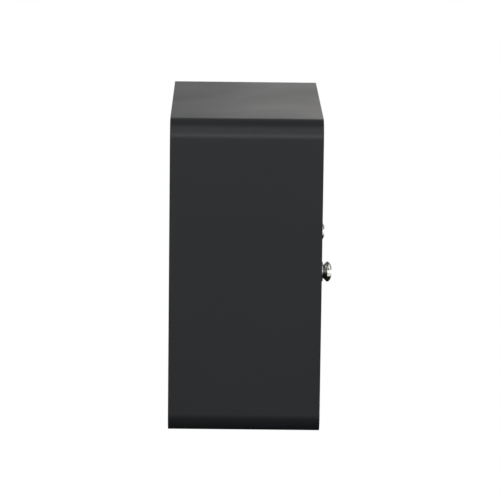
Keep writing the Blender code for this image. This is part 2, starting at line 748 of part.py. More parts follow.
def build_lid(side, sign):
    """A flap with a plug that fits the mouth, and a knuckle between the tank's two lugs."""
    x = sign * TANK_X
    plug = (MOUTH_HALF_WIDTH - TANK_WALL - GAP, MOUTH_HALF_DEPTH - TANK_WALL - GAP)
    plate = (MOUTH_HALF_WIDTH + 0.002, MOUTH_HALF_DEPTH + 0.002)
    rings = []
    for (half_width, half_depth), corner, z in (
        (plug, 0.004, MOUTH_TOP - 0.004),
        (plug, 0.004, MOUTH_TOP + GAP),
        (plate, 0.008, MOUTH_TOP + GAP),
        (plate, 0.008, MOUTH_TOP + 0.0028),
    ):
        outline = rounded(half_width, half_depth, corner, (x, MOUTH_Y), steps=4)
        rings.append([Vector((a, b, z)) for a, b in outline])
    lid = skin(side + "_filler_lid", rings, LID_PLASTIC)
    plate_back = MOUTH_Y + plate[1]
    knuckle_profile = [(0.003, -0.008), (0.003, 0.008)]
    hinge = Vector((x, LID_HINGE_Y, LID_HINGE_Z))
    tongue = box(
        side + "_lid_tongue",
        (x - 0.008, plate_back - 0.002, MOUTH_TOP + 0.0006),
        (x + 0.008, LID_HINGE_Y + 0.0005, MOUTH_TOP + 0.0024),
    )
    boolean(lid, tongue, "UNION")
    boolean(lid, turned(side + "_lid_knuckle", knuckle_profile, hinge, "X", None, SMALL_ROUND), "UNION")
    bore_profile = [(LID_PIN_RADIUS + GAP, -0.015), (LID_PIN_RADIUS + GAP, 0.015)]
    boolean(lid, turned(side + "_lid_bore", bore_profile, hinge, "X", None, SMALL_ROUND), "DIFFERENCE")
    pin_profile = [(LID_PIN_RADIUS, -0.0125), (LID_PIN_RADIUS, 0.0125)]
    turned(side + "_lid_pin", pin_profile, hinge, "X", ZINC_STEEL, steps=SMALL_ROUND)
    return lid


def build_feed_hose(side, sign):
    """The hose from the tank's low spigot up to the back of the pump."""
    x = sign * BUTTON_X
    start = FRONT + SPIGOT_END + GAP
    points = [
        (x, start, 0.0),
        (x, start + 0.013, 0.0),
        (x, start + 0.020, -0.010),
        (x, start + 0.018, -0.045),
        (x, TANK_PORT_Y + 0.010, TANK_PORT_Z + 0.004),
        (sign * 0.1060, TANK_PORT_Y, TANK_PORT_Z),
        (sign * (TANK_PORT_END + GAP), TANK_PORT_Y, TANK_PORT_Z),
    ]
    wire(side + "_feed_hose", points, FEED_HOSE_RADIUS, HOSE_VINYL, kind="NURBS")


build_casing()
build_front_panel()
build_back_plate()
build_shelf()
build_shelf_screws()
build_hinge_bracket("top", 1)
build_hinge_bracket("bottom", -1)
build_lock_catch()

door_pivot = pivot("door_pivot", PIVOT)
lock_pivot = pivot("lock_pivot", LOCK, door_pivot)
fixed_lock, turning_lock = build_lock()
door_pieces = [build_door(), *build_hinge_pins(), *fixed_lock]
for side, sign in SIDES:
    door_pieces.append(build_window(side, sign))
hang(door_pivot, door_pieces)
hang(lock_pivot, turning_lock)

for side, sign in SIDES:
    axis_point = Vector((sign * BUTTON_X, FRONT, 0.0))
    build_bush(side, axis_point)
    build_pump(side, axis_point)
    push_axis = pivot(side + "_push_axis", axis_point)
    hang(push_axis, [build_button(side, axis_point), *build_plunger(side, axis_point)])
    build_return_spring(side, axis_point)
    build_outlet(side, sign)
    build_tank(side, sign)
    lid_axis = pivot(side + "_lid_axis", (sign * TANK_X, LID_HINGE_Y, LID_HINGE_Z))
    hang(lid_axis, [build_lid(side, sign)])
    build_feed_hose(side, sign)
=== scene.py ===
import math

import bpy
import numpy as np
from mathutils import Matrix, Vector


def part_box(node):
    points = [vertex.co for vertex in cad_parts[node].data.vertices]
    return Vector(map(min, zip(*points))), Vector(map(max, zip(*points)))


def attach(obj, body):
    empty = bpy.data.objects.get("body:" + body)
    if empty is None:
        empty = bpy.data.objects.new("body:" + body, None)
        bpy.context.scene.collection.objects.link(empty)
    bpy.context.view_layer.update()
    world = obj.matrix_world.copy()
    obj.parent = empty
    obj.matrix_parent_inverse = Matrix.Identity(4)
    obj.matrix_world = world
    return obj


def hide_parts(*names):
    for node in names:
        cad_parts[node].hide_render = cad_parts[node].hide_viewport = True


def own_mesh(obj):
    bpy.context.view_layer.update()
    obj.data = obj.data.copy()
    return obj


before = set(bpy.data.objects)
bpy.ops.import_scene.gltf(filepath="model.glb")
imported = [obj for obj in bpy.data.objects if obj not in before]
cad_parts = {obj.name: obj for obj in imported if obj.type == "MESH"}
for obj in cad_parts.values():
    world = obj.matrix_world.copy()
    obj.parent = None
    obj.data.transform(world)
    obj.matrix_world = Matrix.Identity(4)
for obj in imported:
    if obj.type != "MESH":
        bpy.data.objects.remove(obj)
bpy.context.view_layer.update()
scene = bpy.context.scene
SIDES = (("left", -1), ("right", 1))


# ---- Camera ----
# A long lens stands level with the box's left side, ten degrees above it, so the box shows its
# narrow side, its top and, past the front edge, the outline of the two push buttons.
CAMERA_PLACE = (-3.04003, -0.04972, 0.55791)
CAMERA_TURN = (79.5967, -0.6782, -90.3996)
camera_data = bpy.data.cameras.new("camera")
camera_data.lens = 224.912
camera_data.sensor_width = 36.0
camera_data.clip_end = 50.0
camera = bpy.data.objects.new("camera", camera_data)
scene.collection.objects.link(camera)
camera.location = CAMERA_PLACE
camera.rotation_euler = [math.radians(angle) for angle in CAMERA_TURN]
scene.camera = camera


# ---- Floor, backdrop and lights ----
# A plain white studio: the floor and the surround are white where they are seen, and give a dim
# band of light at the horizon, darker above and below, as a room with a few soft boxes does.
scene.view_settings.view_transform = "Standard"


def node(tree, kind, sockets=None, **settings):
    """A new shader node with its settings, and its inputs by name or number, set."""
    made = tree.nodes.new("ShaderNode" + kind)
    for name, value in settings.items():
        setattr(made, name, value)
    for label, value in (sockets or {}).items():
        made.inputs[label].default_value = value
    return made


def join(tree, *routes):
    """Links nodes: each route is a node, its output, the next node and its input."""
    for source, output, target, entry in routes:
        tree.links.new(source.outputs[output], target.inputs[entry])


def by_ray(tree, hidden, shown, output):
    """Camera rays see the shown shader, and all other rays the hidden one."""
    seen = node(tree, "LightPath")
    chosen = node(tree, "MixShader")
    join(
        tree,
        (seen, "Is Camera Ray", chosen, "Fac"),
        (hidden, 0, chosen, 1),
        (shown, 0, chosen, 2),
        (chosen, "Shader", node(tree, output), "Surface"),
    )


def ramp_stops(ramp, stops):
    """Sets a colour ramp to (position, brightness or colour) pairs."""
    elements = ramp.color_ramp.elements
    while len(elements) < len(stops):
        elements.new(0.5)
    for element, (position, tone) in zip(elements, stops):
        element.position = position
        element.color = (*tone, 1.0) if isinstance(tone, tuple) else (tone, tone, tone, 1.0)


WHITE = (1.0, 1.0, 1.0, 1.0)
FLOOR_Z = -1.9
FLOOR_HALF = 3.5
FLOOR_TONE = 0.05
# Brightness of the surround against the sine of the elevation, both on a scale of 0 to 1.
HORIZON_BAND = (
    (0.00, 0.05),
    (0.32, 0.14),
    (0.42, 0.46),
    (0.52, 0.47),
    (0.60, 0.46),
    (0.70, 0.28),
    (0.85, 0.14),
    (1.00, 0.12),
)
# The band fades to a third or so towards the front, where the room is open and dark.
FRONT_FADE = {"From Min": -1.0, "From Max": -0.35, "To Min": 0.30, "To Max": 1.0}

world = bpy.data.worlds.new("studio")
scene.world = world
world.use_nodes = True
tree = world.node_tree
tree.nodes.clear()
direction = node(tree, "TexCoord")
split = node(tree, "SeparateXYZ")
elevation = node(tree, "MapRange", {"From Min": -1.0})
band = node(tree, "ValToRGB")
ramp_stops(band, HORIZON_BAND)
front = node(tree, "MapRange", FRONT_FADE)
dim = node(tree, "Background")
bright = node(tree, "Background", {"Color": WHITE})
join(
    tree,
    (direction, "Generated", split, 0),
    (split, "Z", elevation, "Value"),
    (elevation, "Result", band, "Fac"),
    (split, "Y", front, "Value"),
    (band, "Color", dim, "Color"),
    (front, "Result", dim, "Strength"),
)
by_ray(tree, dim, bright, "OutputWorld")

floor_mesh = bpy.data.meshes.new("floor")
floor_signs = ((-1, -1), (1, -1), (1, 1), (-1, 1))
corners = [(a * FLOOR_HALF, b * FLOOR_HALF, FLOOR_Z) for a, b in floor_signs]
floor_mesh.from_pydata(corners, [], [(0, 1, 2, 3)])
floor = bpy.data.objects.new("floor", floor_mesh)
scene.collection.objects.link(floor)
floor_paint = bpy.data.materials.new("floor_paint")
floor_paint.use_nodes = True
tree = floor_paint.node_tree
tree.nodes.clear()
matt = node(tree, "BsdfDiffuse", {"Color": (*[FLOOR_TONE] * 3, 1.0)})
white = node(tree, "Emission", {"Color": WHITE})
by_ray(tree, matt, white, "OutputMaterial")
floor_mesh.materials.append(floor_paint)

# name, place, size, watts, tint: each soft box faces the middle of the cabinet.
SOFT_BOXES = (
    ("side_low", (-3.00, -0.30, 0.90), (2.2, 0.9), 9.0, (0.97, 0.99, 1.00)),
    ("side_high", (-1.90, -0.30, 2.35), (2.4, 2.2), 10.5, (0.97, 0.99, 1.00)),
    ("front_high", (0.30, -2.70, 1.90), (2.4, 1.8), 20.0, (1.00, 1.00, 1.00)),
    ("front_low", (0.90, -2.90, 0.75), (1.8, 1.2), 8.0, (1.00, 0.99, 0.98)),
    ("far_low", (3.00, -1.10, 0.60), (2.2, 0.8), 3.0, (1.00, 0.95, 0.90)),
)
for name, place, size, watts, tint in SOFT_BOXES:
    lamp_data = bpy.data.lights.new(name, "AREA")
    lamp_data.shape = "RECTANGLE"
    lamp_data.size, lamp_data.size_y = size
    lamp_data.energy = watts
    lamp_data.color = tint
    lamp = bpy.data.objects.new(name, lamp_data)
    scene.collection.objects.link(lamp)
    x, y, z = place
    lamp.location = place
    lamp.rotation_euler = (math.atan2(math.hypot(x, y), z), 0.0, math.atan2(y, x) + math.pi / 2)


# ---- Casing ----
# A sleeve of 1.5 mm sheet steel, bent round four corners, welded and dressed smooth on the far
# side, then powder coated satin black all over. Two holes underneath take the soap nozzles.
WIDTH = 0.300
HEIGHT = 0.300
DEPTH = 0.1442
FRONT = -DEPTH
SHEET = 0.0015
CORNER = 0.0177
EDGE = 0.0004
BUTTON_X = 0.1105
NOZZLE_Y = -0.080
NOZZLE_THREAD = 0.0069
GAP = 0.0003
# A solid turned piece closes on its axis at this radius.
CORE = 1e-5


def eased(chain, radius, closed=False, steps=3):
    """A polyline with its corners rounded: each corner becomes a quadratic curve from a point a
    radius before it to a point a radius after it, with a guard point just outside each end."""
    chain = np.asarray(chain, float)
    reach = np.broadcast_to(np.asarray(radius, float), (len(chain),))
    ways = np.stack([np.roll(chain, 1, axis=0), np.roll(chain, -1, axis=0)]) - chain
    lengths = np.maximum(np.linalg.norm(ways, axis=2), 1e-9)
    cut = np.minimum(reach, 0.40 * lengths.min(axis=0))[:, None]
    ways /= lengths[:, :, None]
    t = np.linspace(0.0, 1.0, steps + 1)[None, :, None]
    start, end = (chain + ways * cut)[:, :, None, :]
    bend = (1 - t) ** 2 * start + 2 * t * (1 - t) * chain[:, None, :] + t ** 2 * end
    guard_in, guard_out = (chain + ways * cut * 1.2)[:, :, None, :]
    rounded_corners = np.concatenate([guard_in, bend, guard_out], axis=1)
    if closed:
        return rounded_corners.reshape(-1, chain.shape[1])
    inner = rounded_corners[1:-1].reshape(-1, chain.shape[1])
    return np.concatenate([chain[:1], inner, chain[-1:]])


def rounded_outline(half_a, half_b, radius, steps=20, guard=0.0006):
    """Unit rectangle outline with round corners, anticlockwise: each quarter is an arc of the
    radius about its corner centre, with a guard point on the straight side before and after."""
    guard = min(guard, 0.4 * (half_a - radius), 0.4 * (half_b - radius))
    quarter = np.arange(4)[:, None]
    angle = (quarter + np.linspace(0.0, 1.0, steps + 1)[None, :]) * math.pi / 2
    sign_a = np.array([1, -1, -1, 1])[:, None]
    sign_b = np.array([1, 1, -1, -1])[:, None]
    arc_a = sign_a * (half_a - radius) + radius * np.cos(angle)
    arc_b = sign_b * (half_b - radius) + radius * np.sin(angle)
    lead_a = arc_a[:, :1] + guard * np.sin(angle[:, :1])
    lead_b = arc_b[:, :1] - guard * np.cos(angle[:, :1])
    tail_a = arc_a[:, -1:] - guard * np.sin(angle[:, -1:])
    tail_b = arc_b[:, -1:] + guard * np.cos(angle[:, -1:])
    a = np.concatenate([lead_a, arc_a, tail_a], axis=1).reshape(-1)
    b = np.concatenate([lead_b, arc_b, tail_b], axis=1).reshape(-1)
    return np.stack([a, b], axis=1)


def put_mesh(name, points, faces, sharp=40.0):
    """A mesh object at the origin, shaded smooth except at edges sharper than the angle."""
    mesh = bpy.data.meshes.new(name)
    mesh.from_pydata(points.tolist(), [], faces)
    mesh.validate()
    mesh.shade_smooth()
    mesh.set_sharp_from_angle(angle=math.radians(sharp))
    piece = bpy.data.objects.new(name, mesh)
    scene.collection.objects.link(piece)
    return piece


def skin(name, rings, closed=False, sharp=40.0):
    """A surface through rings of points: quads join each ring to the next, and the first and
    last rings are capped, or joined when the section is closed. Faces are turned outwards."""
    rings = np.asarray(rings, float)
    count, around = rings.shape[:2]
    steps = count if closed else count - 1
    i = np.arange(steps)[:, None]
    j = np.arange(around)[None, :]
    low = i * around
    high = ((i + 1) % count) * around
    following = (j + 1) % around
    quads = np.stack([low + j, low + following, high + following, high + j], axis=-1)
    quads = quads.reshape(-1, 4)
    points = rings.reshape(-1, 3)
    first = points[quads[:, 0]]
    area = np.cross(points[quads[:, 2]] - first, points[quads[:, 3]] - points[quads[:, 1]])
    middle = points.mean(axis=0)
    volume = np.einsum("ij,ij->", first - middle, area)
    faces = quads.tolist()
    if not closed:
        caps = [list(range(around))[::-1], list(range((count - 1) * around, count * around))]
        faces += caps
        for ring in points[np.array(caps)]:
            fan = np.cross(ring - ring[0], np.roll(ring, -1, axis=0) - ring[0]).sum(axis=0)
            volume += float((ring.mean(axis=0) - middle) @ fan)
    if volume < 0:
        faces = [face[::-1] for face in faces]
    return put_mesh(name, points, faces, sharp)


def on_axis(axis, a, b, t, at=(0.0, 0.0, 0.0)):
    """Points at the distance t along an axis through a point, and at (a, b) across it."""
    order = {"X": (t, a, b), "Y": (a, t, b), "Z": (a, b, t)}[axis]
    return np.stack(order, axis=-1) + np.asarray(at)


def revolve(name, chain, at, axis, radius=0.0003, bored=False, steps=72, sharp=40.0):
    """A turned surface: the chain of (radius, distance) points, corners eased, is carried round
    the axis through the point at, every ring being a circle of that radius at that distance."""
    profile = eased(chain, radius, closed=bored) if radius else np.asarray(chain, float)
    angle = np.linspace(0.0, 2 * math.pi, steps, endpoint=False)
    a = profile[:, :1] * np.cos(angle)
    b = profile[:, :1] * np.sin(angle)
    t = np.broadcast_to(profile[:, 1:], a.shape)
    return skin(name, on_axis(axis, a, b, t, at), closed=bored, sharp=sharp)


def bar(radius, low, high):
    """The outline of a plain solid bar."""
    return [(CORE, low), (radius, low), (radius, high), (CORE, high)]


def drill(name, radius, low, high, at, axis, steps=72):
    """A round cutter from low to high along an axis."""
    return revolve(name, [(radius, low), (radius, high)], at, axis, steps=steps)


def carve(piece, others, operation="DIFFERENCE", sharp=40.0, bevel=0.0):
    """Cuts the other shapes out of a piece, or joins them to it. A bevel rounds every corner
    sharper than 45 degrees, with normals weighted by area so that flat faces stay flat."""
    for other in others:
        modifier = piece.modifiers.new(other.name, "BOOLEAN")
        modifier.operation = operation
        modifier.object = other
    if bevel:
        modifier = piece.modifiers.new("softened", "BEVEL")
        modifier.width = bevel
        modifier.segments = 2
        modifier.limit_method = "ANGLE"
        modifier.angle_limit = math.radians(45)
        modifier = piece.modifiers.new("weighted", "WEIGHTED_NORMAL")
        modifier.weight = 100
    graph = bpy.context.evaluated_depsgraph_get()
    mesh = bpy.data.meshes.new_from_object(piece.evaluated_get(graph))
    piece.modifiers.clear()
    piece.data = mesh
    mesh.name = piece.name
    if not bevel:
        mesh.shade_smooth()
        mesh.set_sharp_from_angle(angle=math.radians(sharp))
    for other in others:
        bpy.data.objects.remove(other, do_unlink=True)
    return piece


def group(name, inputs, outputs):
    """An empty shader node group with float sockets, and its two ends."""
    tree = bpy.data.node_groups.new(name, "ShaderNodeTree")
    for label, value in inputs.items():
        socket = tree.interface.new_socket(label, in_out="INPUT", socket_type="NodeSocketFloat")
        socket.default_value = value
    for label in outputs:
        tree.interface.new_socket(label, in_out="OUTPUT", socket_type="NodeSocketFloat")
    return tree, tree.nodes.new("NodeGroupInput"), tree.nodes.new("NodeGroupOutput")


FINE_SHARE = 0.35


def make_grain_group():
    """Two sizes of noise added together for a height, and a slow patchy tone."""
    scales = {"Coarse": 400.0, "Fine": 2000.0, "Patches": 12.0}
    tree, start, end = group("surface_grain", scales, ("Height", "Tone"))
    place = node(tree, "TexCoord")
    coarse, fine, patches = [
        node(tree, "TexNoise", {"Detail": detail}) for detail in (2.0, 1.0, 5.0)
    ]
    total = node(tree, "Math", {1: FINE_SHARE}, operation="MULTIPLY_ADD")
    join(
        tree,
        (place, "Object", coarse, "Vector"),
        (start, "Coarse", coarse, "Scale"),
        (place, "Object", fine, "Vector"),
        (start, "Fine", fine, "Scale"),
        (place, "Object", patches, "Vector"),
        (start, "Patches", patches, "Scale"),
        (fine, "Fac", total, 0),
        (coarse, "Fac", total, 2),
        (total, 0, end, "Height"),
        (patches, "Fac", end, "Tone"),
    )
    return tree


def make_dust_group():
    """Dust settles where the surface faces up: its upward slope times a broken noise. A slower
    noise gives the smudges of hands."""
    inputs = {"Amount": 0.3, "Scale": 30.0}
    tree, start, end = group("settled_dust", inputs, ("Dust", "Smudge"))
    place = node(tree, "TexCoord")
    slope = node(tree, "SeparateXYZ")
    up = node(tree, "MapRange", {"From Min": 0.6})
    noise = node(tree, "TexNoise", {"Detail": 6.0, "Roughness": 0.65})
    broken = node(tree, "MapRange", {"From Min": 0.40, "From Max": 0.75})
    smear = node(tree, "TexNoise", {"Scale": 7.0, "Detail": 3.0, "Distortion": 1.2})
    falls = node(tree, "Math", operation="MULTIPLY")
    dust = node(tree, "Math", operation="MULTIPLY", use_clamp=True)
    join(
        tree,
        (place, "Normal", slope, 0),
        (slope, "Z", up, "Value"),
        (place, "Object", noise, "Vector"),
        (start, "Scale", noise, "Scale"),
        (noise, "Fac", broken, "Value"),
        (place, "Object", smear, "Vector"),
        (up, "Result", falls, 0),
        (broken, "Result", falls, 1),
        (falls, 0, dust, 0),
        (start, "Amount", dust, 1),
        (dust, 0, end, "Dust"),
        (smear, "Fac", end, "Smudge"),
    )
    return tree


GRAIN = make_grain_group()
DUST = make_dust_group()
DUST_COLOR = (0.42, 0.40, 0.37, 1.0)
# The middle range of a noise, spread over the whole of what it moves.
MIDDLE = (0.30, 0.70)


def finish(name, slot, dark, light, roughness, grain, dust=0.15, bump=0.00002, **constants):
    """A Principled finish and its record slot: its colour runs from dark to light with the
    patchy tone, dust greys what faces up, smudges move the roughness between two values, and
    the grain is its bump."""
    material = bpy.data.materials.new(name)
    material.use_nodes = True
    tree = material.node_tree
    shader = tree.nodes["Principled BSDF"]
    for label, value in constants.items():
        shader.inputs[label.replace("_", " ")].default_value = value
    scales = dict(zip(("Coarse", "Fine", "Patches"), grain))
    texture = node(tree, "Group", scales, node_tree=GRAIN)
    settled = node(tree, "Group", {"Amount": dust}, node_tree=DUST)
    tint = node(tree, "ValToRGB")
    ramp_stops(tint, tuple(zip(MIDDLE, (dark, light))))
    dusty = node(tree, "Mix", {"B": DUST_COLOR}, data_type="RGBA")
    reach = dict(zip(("From Min", "From Max", "To Min", "To Max"), (*MIDDLE, *roughness)))
    sheen = node(tree, "MapRange", reach)
    relief = node(tree, "Bump", {"Distance": bump})
    join(
        tree,
        (texture, "Tone", tint, "Fac"),
        (tint, "Color", dusty, "A"),
        (settled, "Dust", dusty, "Factor"),
        (dusty, "Result", shader, "Base Color"),
        (settled, "Smudge", sheen, "Value"),
        (sheen, "Result", shader, "Roughness"),
        (texture, "Height", relief, "Height"),
        (relief, "Normal", shader, "Normal"),
    )
    return material, slot


POWDER_COAT = finish(
    "satin_black_powder_coat", "powder_coated_steel", (0.033, 0.037, 0.042), (0.037, 0.041, 0.046),
    (0.33, 0.39), (700.0, 2600.0, 9.0), dust=0.012, bump=0.000032, IOR=1.5,
)


def dress(piece, look, replaced, body="cabinet"):
    """Gives a piece its material and its body, and hides the CAD node that it stands for."""
    material, slot = look
    piece.data.materials.clear()
    piece.data.materials.append(material)
    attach(piece, body)
    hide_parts(replaced)


def around_y(profile, half_width, half_height, corner, center=(0.0, 0.0)):
    """Rings about the Y axis: each (inset, y) point gives a rounded outline drawn in by inset,
    whose corners never get sharper than a fifth of a millimetre."""
    rings = []
    for inset, y in profile:
        radius = max(corner - inset, 0.0002)
        outline = rounded_outline(half_width - inset, half_height - inset, radius)
        a, b = (outline + np.asarray(center)).T
        rings.append(on_axis("Y", a, b, np.full(len(outline), y)))
    return np.array(rings)


sheet_section = eased([(0.0, FRONT), (0.0, 0.0), (SHEET, 0.0), (SHEET, FRONT)], EDGE, closed=True)
casing = skin("casing_sleeve", around_y(sheet_section, WIDTH / 2, HEIGHT / 2, CORNER), closed=True)
outlet_holes = []
for side, sign in SIDES:
    at = (sign * BUTTON_X, NOZZLE_Y, -HEIGHT / 2)
    outlet_holes.append(drill(side + "_outlet_cut", NOZZLE_THREAD + GAP, -0.005, 0.005, at, "Z"))
carve(casing, outlet_holes)
dress(casing, POWDER_COAT, "casing")


# ---- Front panel ----
# A flat plate of the same sheet, laser cut for the door and the two bushes. It is spot welded
# inside the mouth of the sleeve, flush with it, and coated with it.
OPENING_HALF_WIDTH = 0.088
OPENING_HALF_HEIGHT = 0.125
OPENING_CORNER = 0.005
BUSH = 0.013
PANEL_HALF = WIDTH / 2 - SHEET - GAP
PANEL_CORNER = CORNER - SHEET - GAP
CUT_EDGE = 0.00025
CUT_PAST = 0.003


def plate(name, front, back, half_width, half_height, corner):
    """A flat sheet with a rounded outline, square cut."""
    return skin(name, around_y([(0.0, front), (0.0, back)], half_width, half_height, corner))


def hole_y(name, radius, x, z, front, back, steps=48):
    """A round cutter along Y that passes a little beyond both faces of a sheet."""
    return drill(name, radius, front - CUT_PAST, back + CUT_PAST, (x, 0.0, z), "Y", steps)


panel_back = FRONT + SHEET
panel = plate("front_plate", FRONT, panel_back, PANEL_HALF, PANEL_HALF, PANEL_CORNER)
opening = (OPENING_HALF_WIDTH, OPENING_HALF_HEIGHT, OPENING_CORNER)
cuts = [plate("door_opening_cut", FRONT - CUT_PAST, panel_back + CUT_PAST, *opening)]
for side, sign in SIDES:
    x = sign * BUTTON_X
    cuts.append(hole_y(side + "_bush_cut", BUSH + GAP, x, 0.0, FRONT, panel_back, steps=64))
carve(panel, cuts, bevel=CUT_EDGE)
dress(panel, POWDER_COAT, "front_panel")


# ---- Door ----
# A tray folded from 1.5 mm sheet with 10 mm returns, powder coated with the cabinet. It has
# pivot holes in its top and bottom returns, a hole for the lock and two slots to see the level.
DOOR_GAP = 0.0015
PIVOT = (0.0725, FRONT + 0.0055, 0.0)
LOCK = (-0.070, FRONT, 0.060)
LOCK_BODY = 0.008
DOOR_RETURN = 0.010
FACE_INSET = 0.0034
PIN_RADIUS = 0.002
WINDOW_X = 0.042
WINDOW_Z = -0.015
WINDOW_SLOT = (0.005, 0.060, 0.0048)
door_half_width = OPENING_HALF_WIDTH - DOOR_GAP
door_half_height = OPENING_HALF_HEIGHT - DOOR_GAP
door_corner = OPENING_CORNER - DOOR_GAP
tray_chain = [
    (FACE_INSET, FRONT),
    (0.0, FRONT),
    (0.0, FRONT + DOOR_RETURN),
    (SHEET, FRONT + DOOR_RETURN),
    (SHEET, FRONT + SHEET),
    (FACE_INSET, FRONT + SHEET),
]
tray_section = eased(tray_chain, [0, 0.0009, 0.0003, 0.0003, 0.0005, 0], steps=4)
tray = around_y(tray_section, door_half_width, door_half_height, door_corner)
door = skin("door_tray", tray)
cuts = [drill("lock_cut", LOCK_BODY + GAP, -0.004, 0.006, LOCK, "Y")]
for end in (-1, 1):
    ends = (end * 0.118, end * 0.128)
    cuts.append(drill("pivot_cut_%d" % end, PIN_RADIUS + GAP, *ends, PIVOT, "Z", steps=32))
for side, sign in SIDES:
    slot_section = [(0.0, FRONT - 0.004), (0.0, FRONT + 0.006)]
    rings = around_y(slot_section, *WINDOW_SLOT, (sign * WINDOW_X, WINDOW_Z))
    cuts.append(skin(side + "_window_cut", rings))
carve(door, cuts, bevel=0.00015)
dress(door, POWDER_COAT, "door_panel", "door")


# ---- Sight windows ----
# Clear acrylic strips bonded behind the door, each with a rib that fills its slot, so the level
# of the soap shows. They are polished in the mould and carry only a faint waviness.
ACRYLIC = finish(
    "clear_acrylic", "window_acrylic", (0.80, 0.86, 0.88), (0.86, 0.90, 0.92),
    (0.03, 0.08), (40.0, 300.0, 5.0), dust=0.05,
    bump=0.000004, IOR=1.49, Transmission_Weight=0.92,
)
WINDOW_FLANGE = (0.009, 0.064, 0.003)
WINDOW_RIB = (0.0047, 0.0597, 0.0045)
WINDOW_EASE = 0.0002
step = FRONT + SHEET + GAP
back = step + 0.002
rib_face = FRONT + 0.0004
flange = [
    (WINDOW_EASE, back),
    (0.0, back - WINDOW_EASE),
    (0.0, step + WINDOW_EASE),
    (WINDOW_EASE, step),
]
rib = [(0.0, step), (0.0, rib_face + WINDOW_EASE), (WINDOW_EASE, rib_face)]
for side, sign in SIDES:
    center = (sign * WINDOW_X, WINDOW_Z)
    rings = [around_y(flange, *WINDOW_FLANGE, center), around_y(rib, *WINDOW_RIB, center)]
    window = skin(side + "_window_strip", np.concatenate(rings), sharp=30.0)
    dress(window, ACRYLIC, side + "_sight_window", "door")


# ---- Back plate, tank shelf, hinge brackets, catch and cam ----
# Folded and blanked from zinc plated steel, which shows a fine grain and the dull bloom of clear
# passivated zinc. The screws and pins further down have the same finish.
ZINC = finish(
    "zinc_plate", "zinc_plated_steel", (0.36, 0.37, 0.38), (0.50, 0.51, 0.52),
    (0.44, 0.58), (140.0, 900.0, 160.0), dust=0.10, bump=0.000010, Metallic=1.0,
)
WALL_HOLES = [(x, z) for x in (-0.060, 0.060) for z in (-0.122, 0.122)]
WALL_HOLE = 0.00325
SHELF_SCREWS = (-0.078, -0.026, 0.026, 0.078)
SHELF_SCREW_Z = -0.107
SHELF_HALF_WIDTH = 0.086
SCREW_HOLE = 0.0023
BRACKET = 0.002
BRACKET_HALF_WIDTH = 0.0085
CATCH_HALF_HEIGHT = 0.011
TANK_BOTTOM = -0.100
SHELF_FRONT = -0.120
BEND = 0.0018
FOLD_EDGE = 0.0002
# How far each corner of a folded section is eased: the ends, the outside and inside of a bend.
FOLD_EASE = [0.0001, BEND, 0.0004, 0.0001, 0.0001, BEND, 0.0004, 0.0001]


def pushed(name, outline, low, high, axis):
    """A flat outline carried straight from low to high along an axis."""
    a, b = np.asarray(outline, float).T
    rings = [on_axis(axis, a, b, np.full(len(a), level)) for level in (low, high)]
    return skin(name, np.array(rings))


back_plate = plate("wall_plate", -SHEET, 0.0, PANEL_HALF, PANEL_HALF, PANEL_CORNER)
cuts = []
for i, (x, z) in enumerate(WALL_HOLES):
    cuts.append(hole_y("wall_cut_%d" % i, WALL_HOLE, x, z, -SHEET, 0.0))
for i, x in enumerate(SHELF_SCREWS):
    cuts.append(hole_y("tapping_cut_%d" % i, SCREW_HOLE, x, SHELF_SCREW_Z, -SHEET, 0.0, steps=24))
carve(back_plate, cuts, bevel=CUT_EDGE)
dress(back_plate, ZINC, "back_plate")

shelf_top = TANK_BOTTOM - GAP
shelf_back = -SHEET - GAP
flange_foot = SHELF_SCREW_Z - 0.006
lip_top = TANK_BOTTOM + 0.008
fold = [
    (shelf_back, flange_foot),
    (shelf_back, shelf_top),
    (SHELF_FRONT, shelf_top),
    (SHELF_FRONT, lip_top),
    (SHELF_FRONT - SHEET, lip_top),
    (SHELF_FRONT - SHEET, shelf_top - SHEET),
    (shelf_back - SHEET, shelf_top - SHEET),
    (shelf_back - SHEET, flange_foot),
]
fold = eased(fold, FOLD_EASE, closed=True)
shelf = pushed("tank_shelf_folded", fold, -SHELF_HALF_WIDTH, SHELF_HALF_WIDTH, "X")
cuts = []
for i, x in enumerate(SHELF_SCREWS):
    ends = (shelf_back - SHEET, shelf_back)
    cuts.append(hole_y("shelf_cut_%d" % i, SCREW_HOLE, x, SHELF_SCREW_Z, *ends, steps=24))
carve(shelf, cuts, bevel=FOLD_EDGE)
dress(shelf, ZINC, "tank_shelf")

leg_face = FRONT + SHEET + GAP
tab_near = OPENING_HALF_HEIGHT - DOOR_GAP + 0.0005
leg_end = tab_near + 0.016
tab_far = tab_near + BRACKET
tab_end = PIVOT[1] + 0.007
sides = (PIVOT[0] - BRACKET_HALF_WIDTH, PIVOT[0] + BRACKET_HALF_WIDTH)
for name, end in (("top", 1), ("bottom", -1)):
    angle = [
        (leg_face, end * tab_near),
        (leg_face, end * leg_end),
        (leg_face + BRACKET, end * leg_end),
        (leg_face + BRACKET, end * tab_far),
        (tab_end, end * tab_far),
        (tab_end, end * tab_near),
    ]
    angle = eased(angle, [BEND, 0.0001, 0.0001, 0.0004, 0.0001, 0.0001], closed=True)
    bracket = pushed(name + "_bracket_folded", angle, *sides, "X")
    ends = (end * (tab_near - CUT_PAST), end * (tab_far + CUT_PAST))
    bore = drill(name + "_bracket_cut", PIN_RADIUS + GAP, *ends, PIVOT, "Z", steps=32)
    carve(bracket, [bore], bevel=FOLD_EDGE)
    dress(bracket, ZINC, name + "_hinge_bracket")

